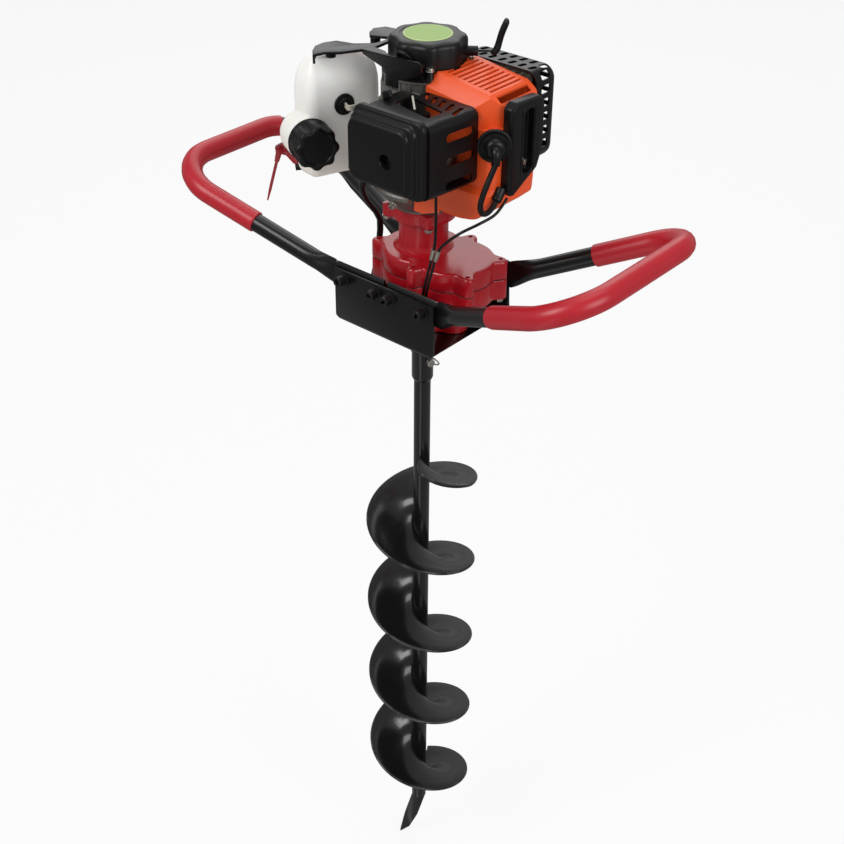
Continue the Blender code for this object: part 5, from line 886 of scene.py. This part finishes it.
black_nylon = Finish(
    "black_nylon", "black_plastic", (14, 14, 15), 0.32, Specular_IOR_Level=0.3, gloss=(0.32, 0.1, 40, 3),
    grain=(1100, 2, 0.14, 0.0002),
)
end_plan = corner_rounded([
    (-17, 210), (27, 233), (36, 254), (36, 306), (29, 316.5), (-13, 319),
    (-22, 313), (-22, 218),
], 5, 8)
end_shell = layered("end_guard_shell", FROM_RIGHT, [
    (x, drawn_in(end_plan, inset)) for x, inset in ((129.3, 0), (139, 0), (142.5, 2.2))
])
UP, TO_RIGHT, TO_BACK = (0, 0, 1), (1, 0, 0), (0, 1, 0)
cut(end_shell, rounded_slot((142.5, 8, 270), UP, TO_RIGHT, 74, 18, 17, 6))
rounded(end_shell, 1.2, 3, 24)
for y in (-3.4, 19.4):
    ridge = rounded_slot((140.5, y, 270), UP, TO_RIGHT, 76, 2.6, 5.5, 1.2)
    welded(end_shell, rounded(ridge, 0.8))
settle(end_shell, black_nylon, "end_guard")
plated_screw("guard_screw", (134, 10.5, 243), TO_RIGHT, 3.4, 3.4, 16)


# The muffler and its guard: a pressed steel box, blued by its own heat, in a
# slotted shell of black enamelled sheet that keeps hands off it.
hot_steel = Finish("hot_steel", "black_steel", (112, 104, 98), 0.44, 1.0)
heat = hot_steel.noise(24, 4)
hot_steel.tint(heat.ramp(0.35, 0.68), (96, 84, 76), (138, 128, 116))
hot_steel.feed("Roughness", 0.36 + heat * 0.2)
silencer = rounded(block((62, 63.2, 278.5), (70, 29.5, 81)), 9, 5)
port = stood(turned("exhaust_port", [(11, 0), (11, 20)], 40), (70, 34.3, 248), TO_BACK)
settle(welded(silencer, port), hot_steel, "muffler")
guard_enamel = Finish(
    "guard_enamel", "black_paint", (14, 14, 15), 0.3, Specular_IOR_Level=0.3, grain=(480, 2, 0.1, 0.0003),
)


def dished(name, wall, corner, levels):
    """The muffler guard's outer form, or the room inside it, its corners drawn in towards the rear."""
    return layered(name, FROM_FRONT, [
        (y, plate_outline(12, 121.5, 224, 331, corner, 12, wall + inset)) for y, inset in levels
    ])


shell = dished("guard_shell", 0, 14, (
    (46.5, 0), (75.5, 0), (79.2, 0.6), (81.8, 2), (83.4, 4.2), (84, 6.8),
))
cut(shell, dished("guard_room", 1.8, 12.2, (
    (40, 0), (75.5, 0), (78.5, 0.6), (80.8, 2.4), (82.2, 6),
)))
for k in range(7):
    for x, y in ((24.5, 56), (28.5, 71.5)):
        cut(shell, rounded_slot((x + 13.8 * k, y, 330), (0.25, 1, 0), UP, 11.5, 6.2, 12, 2.4))
for k in range(6):
    z = 244 + 16 * k
    cut(shell, rounded_slot((121, 64, z), TO_BACK, TO_RIGHT, 15, 9.8, 12, 2.6),
        rounded_slot((105, 83.5, z), TO_RIGHT, TO_BACK, 17, 11, 12, 2.6))
for k in range(4):
    cut(shell, rounded_slot((62, 83.5, 248 + 20 * k), TO_RIGHT, TO_BACK, 50, 8, 12, 3.5))
settle(shell, guard_enamel, "muffler_guard")


# The air box: moulded black nylon round the carburettor, slotted on its right side
# and on top, with a window where the choke's lever comes through.
air_box = layered("air_box", FROM_FRONT, [(y, plate_outline(4, right, 224.5, 312, 10, 12)) for y, right in (
    (-38.5, 108.5), (-52, 108.5), (-90, 104.5), (-111, 102),
)])
air_room = layered("air_room", FROM_FRONT, [
    (y, plate_outline(6.2, right, 226.7, 309.8, 8, 12)) for y, right in (
        (-30, 106.3), (-52, 106.3), (-90, 102.3), (-108.8, 100),
    )
])
window = corner_rounded([(31, -85.5), (86, -96), (87, -72), (29, -60)], 3, 6)
cut(air_box, air_room, block((10, -40, 268), (52, 24, 100)),
    layered("choke_window", FROM_ABOVE, [(z, window) for z in (305, 317)]))
for k in range(5):
    cut(air_box, rounded_slot((43.8 + 13.25 * k, -48.5 - 2.8 * k, 311), (0.084 * k - 0.55, 1, 0),
                              UP, 17.5 + 1.2 * k, 5.2, 12, 2.4))
for z in (235.8, 263.3, 290.8):
    cut(air_box, rounded_slot((106, -66.5, z), (-0.1, 1, 0), TO_RIGHT, 41, 10.6, 30, 4.5))
settle(rounded(air_box, 0.6, 2, 60), black_nylon, "air_housing")
settle(refined("carburettor", 0.6), cast_metal, "carburettor")


# The choke: a black lever that turns on the carburettor, a thin knob on its end
# and the bright steel strip that it pulls, both on the lever's body.
choke_steel = Finish("choke_steel", "bright_steel", (168, 164, 156), 0.32, 0.9, gloss=(0.26, 0.14, 200, 2))
settle(refined("choke_lever", 0.4), black_nylon, "choke_lever", body="choke", slot="black_steel")
strip_plan = ((40, -69, 316.5), (41.5, -67.5, 316.5), (55.5, -80, 308.5), (54, -81.5, 308.5))
link = skinned("choke_link", [[(x, y, z + thick) for x, y, z in strip_plan] for thick in (0, 1)])
settle(link, choke_steel, body="choke")
knob = turned("choke_knob", [(2.4, 0), (3.4, 0.6), (3.6, 5), (3, 7.2), (1.2, 7.8)], 24, 0.6)
lean = Matrix.Rotation(radians(-24), 4, "Y")
knob.data.transform(Matrix.Translation((30, -83, 290)) @ lean @ Matrix.Translation((0, 0, 26.2)))
settle(knob, black_nylon, body="choke")


# The filter lid: black nylon, its face stepped inwards twice, with a round hole
# where one long screw reaches the carburettor.
lid_steps = [
    (0.4, 0), (5, 0), (6.6, 0.4), (7.8, 1.4), (8.4, 3), (8.6, 4.6),
    (9.4, 5.4), (12, 5.8), (13.2, 6.4), (13.9, 7.6), (14.2, 9.2), (14.8, 10),
    (16.8, 10.4), (18, 11.2), (18.7, 12.6), (19, 15),
]
lid = layered("filter_lid", FROM_FRONT, [(-111 - depth, plate_outline(
    inset * 0.15, 99.5 - inset * 1.5, 224.5 + inset * 0.8, 315 - inset * 1.1, 11, 14,
)) for depth, inset in lid_steps])
TO_FRONT = (0, -1, 0)
cut(lid, stood(turned("screw_hole", [(7.8, -9), (8.2, -0.8), (9, 0.4), (9, 6)], 40),
               (55.5, -129.8, 264.5), TO_FRONT))
settle(lid, black_nylon, "filter_cover", angle=35)
screw = turned("lid_screw", [(3.4, -0.4), (4.2, 0.2), (4, 1.6), (2.8, 2.4), (0.8, 2.6)], 24)
settle(stood(screw, (55.5, -120.6, 264.5), TO_FRONT), black_oxide)


# The fuel tank: blow-moulded natural polythene, milky, with a filler neck moulded
# into its lower front corner. Its skin carries painted shade and a faint painted glow.
# The emission makes the tank glow faintly: painted light, as the tank is no lamp.
tank_skin = Finish(
    "natural_polythene", "white_tank", (244, 242, 236), 0.38, Specular_IOR_Level=0.4, Subsurface_Weight=0.15,
    Subsurface_Scale=0.01, Emission_Strength=0.05, grain=(60, 3, 0.1, 0.0008),
)
# Painted shade: the skin is darker and warmer towards the tank's bottom and lighter at its top, with some random
# tone from the noise.
painted_shade_low = (0.3 - tank_skin.z).ramp(-0.02, 0.12)
tank_skin.tint((painted_shade_low + tank_skin.noise(18, 2) * 0.3).maths("MINIMUM", 1.0), (250, 249, 246), (238, 234, 225))
SIDE_BACK, SIDE_FRONT = Vector((-87, -97)), Vector((-60.5, -22))
tank_plan = corner_rounded([(-126.5, -90), SIDE_BACK, SIDE_FRONT, (-60, 8), (-112, -24)], 13.5, 16)
tank = stacked("tank_shape", tank_plan, [
    (188, 12.5), (189, 8.5), (192, 4.5), (197, 1.8), (204, 0.4), (212, 0),
    (288, 0), (299, 0.6), (308, 2.4), (316, 5.4), (322.5, 9), (327.2, 11.8),
    (329.4, 12.8), (330, 13.1),
])
FILLER = Vector((-62.2, -110.8, 239.6))
filler_out = Vector((cos(radians(-27)), sin(radians(-27)), 0))
lobe = stood(turned("filler_lobe", [
    (15, -70), (21.5, -68.5), (25.2, -64), (26.6, -58), (26.8, -34), (26.4, -31.8),
    (25, -30.4), (18.6, -30), (18.4, -8),
], 64), FILLER, filler_out)
modify(tank, "BOOLEAN", operation="UNION", solver="EXACT", object=lobe)
bpy.data.objects.remove(lobe)
modify(tank, "REMESH", mode="VOXEL", voxel_size=1.4)
modify(tank, "SMOOTH", factor=0.5, iterations=7)
settle(tank, tank_skin, "fuel_tank", angle=60)


# The filler cap: black nylon with eight finger lobes between a plain round skirt
# and a shallow round recess in its bare face.
def lobes(radius, depth, count, phase, sharp):
    """A circle with eight soft lobes."""
    ring = []
    for k in range(count):
        a = 2 * pi * k / count
        wave = cos(8 * a + phase)
        reach = radius + depth * (abs(wave) ** sharp) * (1 if wave > 0 else -1)
        ring.append((reach * cos(a), reach * sin(a)))
    return ring


cap_levels = [
    (-29, -1.2, 0), (-28.4, -0.4, 0.1), (-24, 0, 0.3), (-22.5, 0.4, 0.9), (-4, 0.4, 1.0),
    (-1.8, 1, 1.0), (-0.6, 2.2, 0.9), (0, 4.2, 0.7), (0, 5.8, 0.4), (-0.6, 6.6, 0.1),
    (-1.8, 7.2, 0), (-2, 10, 0),
]
cap = layered("filler_cap_shape", FROM_ABOVE, [
    (z, lobes(25.3 - pull, 1.6 * share, 192, 0.4, 0.8)) for z, pull, share in cap_levels
])
stood(cap, FILLER, filler_out)
settle(cap, black_nylon, "fuel_cap", body="filler_cap", angle=40)


# The fuel lines: two thin clear hoses from a rubber grommet in the tank's side,
# one to the carburettor and one back from it.
face_run = (SIDE_FRONT - SIDE_BACK).normalized()
face_out = Vector((face_run.y, -face_run.x, 0))
grommet_place = Vector((*SIDE_BACK.lerp(SIDE_FRONT, 0.54), 275.5))
grommet = stood(turned("grommet_shape", [
    (11.8, 0), (12.6, 0.6), (12.6, 2), (11.6, 3), (9, 3.4), (8, 4.4),
    (6.8, 4.8),
], 48), grommet_place, face_out)
settle(grommet, black_rubber, "tank_grommet")
hose = Finish("clear_hose", "clear_hose", (216, 212, 198), 0.14, Transmission_Weight=0.35, IOR=1.4)
hose_plan = [(-52, -39.5), (-20, -44), (6, -56), (24, -62)]
for name, rise, heights in (("fuel_line", 2.4, (276.5, 276.5, 273, 270)),
                            ("return_line", -2.4, (271.5, 270, 265, 262))):
    leaving = grommet_place + Vector((0, 0, rise * 0.7)) + face_out * 4.5
    run = [(x, y, z) for (x, y), z in zip(hose_plan, heights)]
    pipe = tube(name + "_shape", flowing([leaving, leaving + face_out * 10, *run], 1.8), 1.8, 5)
    settle(pipe, hose, name, angle=70)


# The starter: a black nylon cover over the recoil reel with eight soft flutes, a
# bare pale green disc pressed into its top and a spout for the cord. It stands on
# the ribbed ring of the fan housing, with a plated screw on a post at each side.
cover_levels = [
    (320.5, -5.2, 0), (320.9, -5.6, 0), (323.2, -5.6, 0), (323.8, -5, 0), (324.1, -1.2, 0.4),
    (325.2, 0, 0.9), (327, 0, 1.0), (353.5, 0, 1.0), (356, 0.6, 1.0), (358, 2, 1.0),
    (359.2, 4, 0.9), (359.9, 6.8, 0.7), (360.2, 10.4, 0.4), (360.3, 12.8, 0.1), (360.2, 14.3, 0),
    (359.6, 14.8, 0),
]
OFF_X, OFF_Y = 2.4, 2
cover = skinned("reel_cover", [
    [(x + OFF_X * share, y + OFF_Y * share, z)
     for x, y in lobes(43 - pull, 1.6 * share, 240, radians(20), 0.75)]
    for z, pull, share in cover_levels
])
spout_out = Vector((cos(radians(38)), sin(radians(38)), 0))
spout = tube("cord_spout", [Vector((0, 0, 341)) + spout_out * d for d in (36, 46, 52, 59)], 5.6, 6)
rounded(spout, 0.8, 2, 60)
lug = tube("cord_lug", flowing([(-3, -42.5, 345.5), (0.5, -46.2, 350), (6.5, -46.6, 351.5),
                                (12, -45, 349.2), (14, -40.5, 345)], 1.5), 1.9, 4)
settle(welded(cover, spout, lug), black_nylon, "starter_cover", angle=34)
disc_green = Finish("pale_green_disc", "black_plastic", (160, 190, 110), 0.45, Specular_IOR_Level=0.3)
across, along = disc_green.x - OFF_X * MM, disc_green.y - OFF_Y * MM
disc_green.tint(((across * across + along * along) ** 0.5).ramp(0.0262, 0.0266), (150, 182, 100), (186, 206, 146))
disc = turned("green_disc", [(27.9, 359.4), (27.9, 360.4), (27.5, 360.9), (26.2, 361)], 96)
disc.data.transform(Matrix.Translation((OFF_X, OFF_Y, 0)))
case_ring = turned("fan_case_ring", [
    (42, 303), (49.4, 303), (49.4, 307), (47, 308.5), (47, 316.5), (48.6, 318),
    (48.6, 320.4), (42, 320.4),
], 96)
for k in range(24):
    a = radians(15 * k + 5)
    welded(case_ring, block((47.4 * cos(a), 47.4 * sin(a), 312.5), (2.6, 2.4, 10), Matrix.Rotation(a, 4, "Z")))
settle(case_ring, cast_metal)
settle(disc, disc_green)
for number, (x, y) in enumerate(((34.5, -31.8), (36.8, 33.8)), 1):
    post = turned("fan_post_%d" % number, [(4.8, 321), (4.4, 322), (4.2, 332.5), (3.8, 333.3)], 28)
    post.data.transform(Matrix.Translation((x, y, 0)))
    settle(post, black_nylon)
    plated_screw("post_screw_%d" % number, (x, y, 333.4), (0, 0, 1), 4.2, 3.6, 16)


# The pull grip: soft black rubber on the starter cord, standing beside the cover.
grip = refined("starter_grip", 0)
modify(grip, "SUBSURF", levels=2, render_levels=2)
settle(grip, black_rubber, "starter_grip", body="pull_grip", angle=60)


# The tank guard: pressed steel plate with two arms over the tank, a hollow side
# round the starter and a deep flange at the front, in the same gloss black enamel.
settle(refined("tank_guard", 0.5, 2), guard_enamel, "tank_guard")


# The throttle: a red enamelled strap and lug on the left handle with its hand lever
# below, and a grey nylon collar beside it that ends the cable.
settle(refined("throttle_bracket", 0.5), red_enamel, "throttle_bracket")
settle(refined("throttle_lever", 0.8, 3), red_enamel, "throttle_lever", body="throttle")
grey_nylon = Finish("grey_nylon", "black_plastic", (176, 178, 180), 0.45, grain=(900, 2, 0.12, 0.0002))
collar = rounded(tube("cable_collar", stretch(handle_route(*LEFT_HANDLE), 531.163, 541.056), 15, 8), 1.2, 3, 60)
settle(collar, grey_nylon)


# The cables: a sheathed loom under the left handle's rear leg, the throttle cable
# down behind the gearbox, and two thin wires with plated bullet connectors.
for node in ("control_loom", "throttle_cable"):
    settle(refined(node, 0), black_rubber, node, angle=70)
for node, points, joint in (
    ("stop_wire", [
        (85, -80, 224), (83, -77, 206), (81.5, -75, 175), (79, -74.2, 150),
        (69, -71.6, 118), (60, -67, 95), (52, -60.5, 78), (47.5, -59.5, 56),
        (44, -59, 40), (35, -59, 31),
    ], 3),
    ("earth_wire", [
        (134.5, -16.3, 208), (134.5, -22.5, 203), (130.5, -33, 192), (124, -52, 186),
        (108, -69, 174), (86, -74, 150), (74.5, -72.2, 118), (65, -67.5, 95),
        (56.5, -60.5, 78), (52, -59, 56), (45, -59, 39), (36, -59, 29),
    ], 5),
):
    line = tube(node + "_line", flowing(points, 4), 1.7, 3)
    settle(line, black_rubber, node, angle=70)
    first, last = Vector(points[joint]), Vector(points[joint + 1])
    ferrule = [first.lerp(last, share) for share in (0.05, 0.25, 0.5)]
    bullet = rounded(tube(node + "_bullet", ferrule, 2.7, 4), 0.6, 2, 60)
    settle(bullet, zinc)
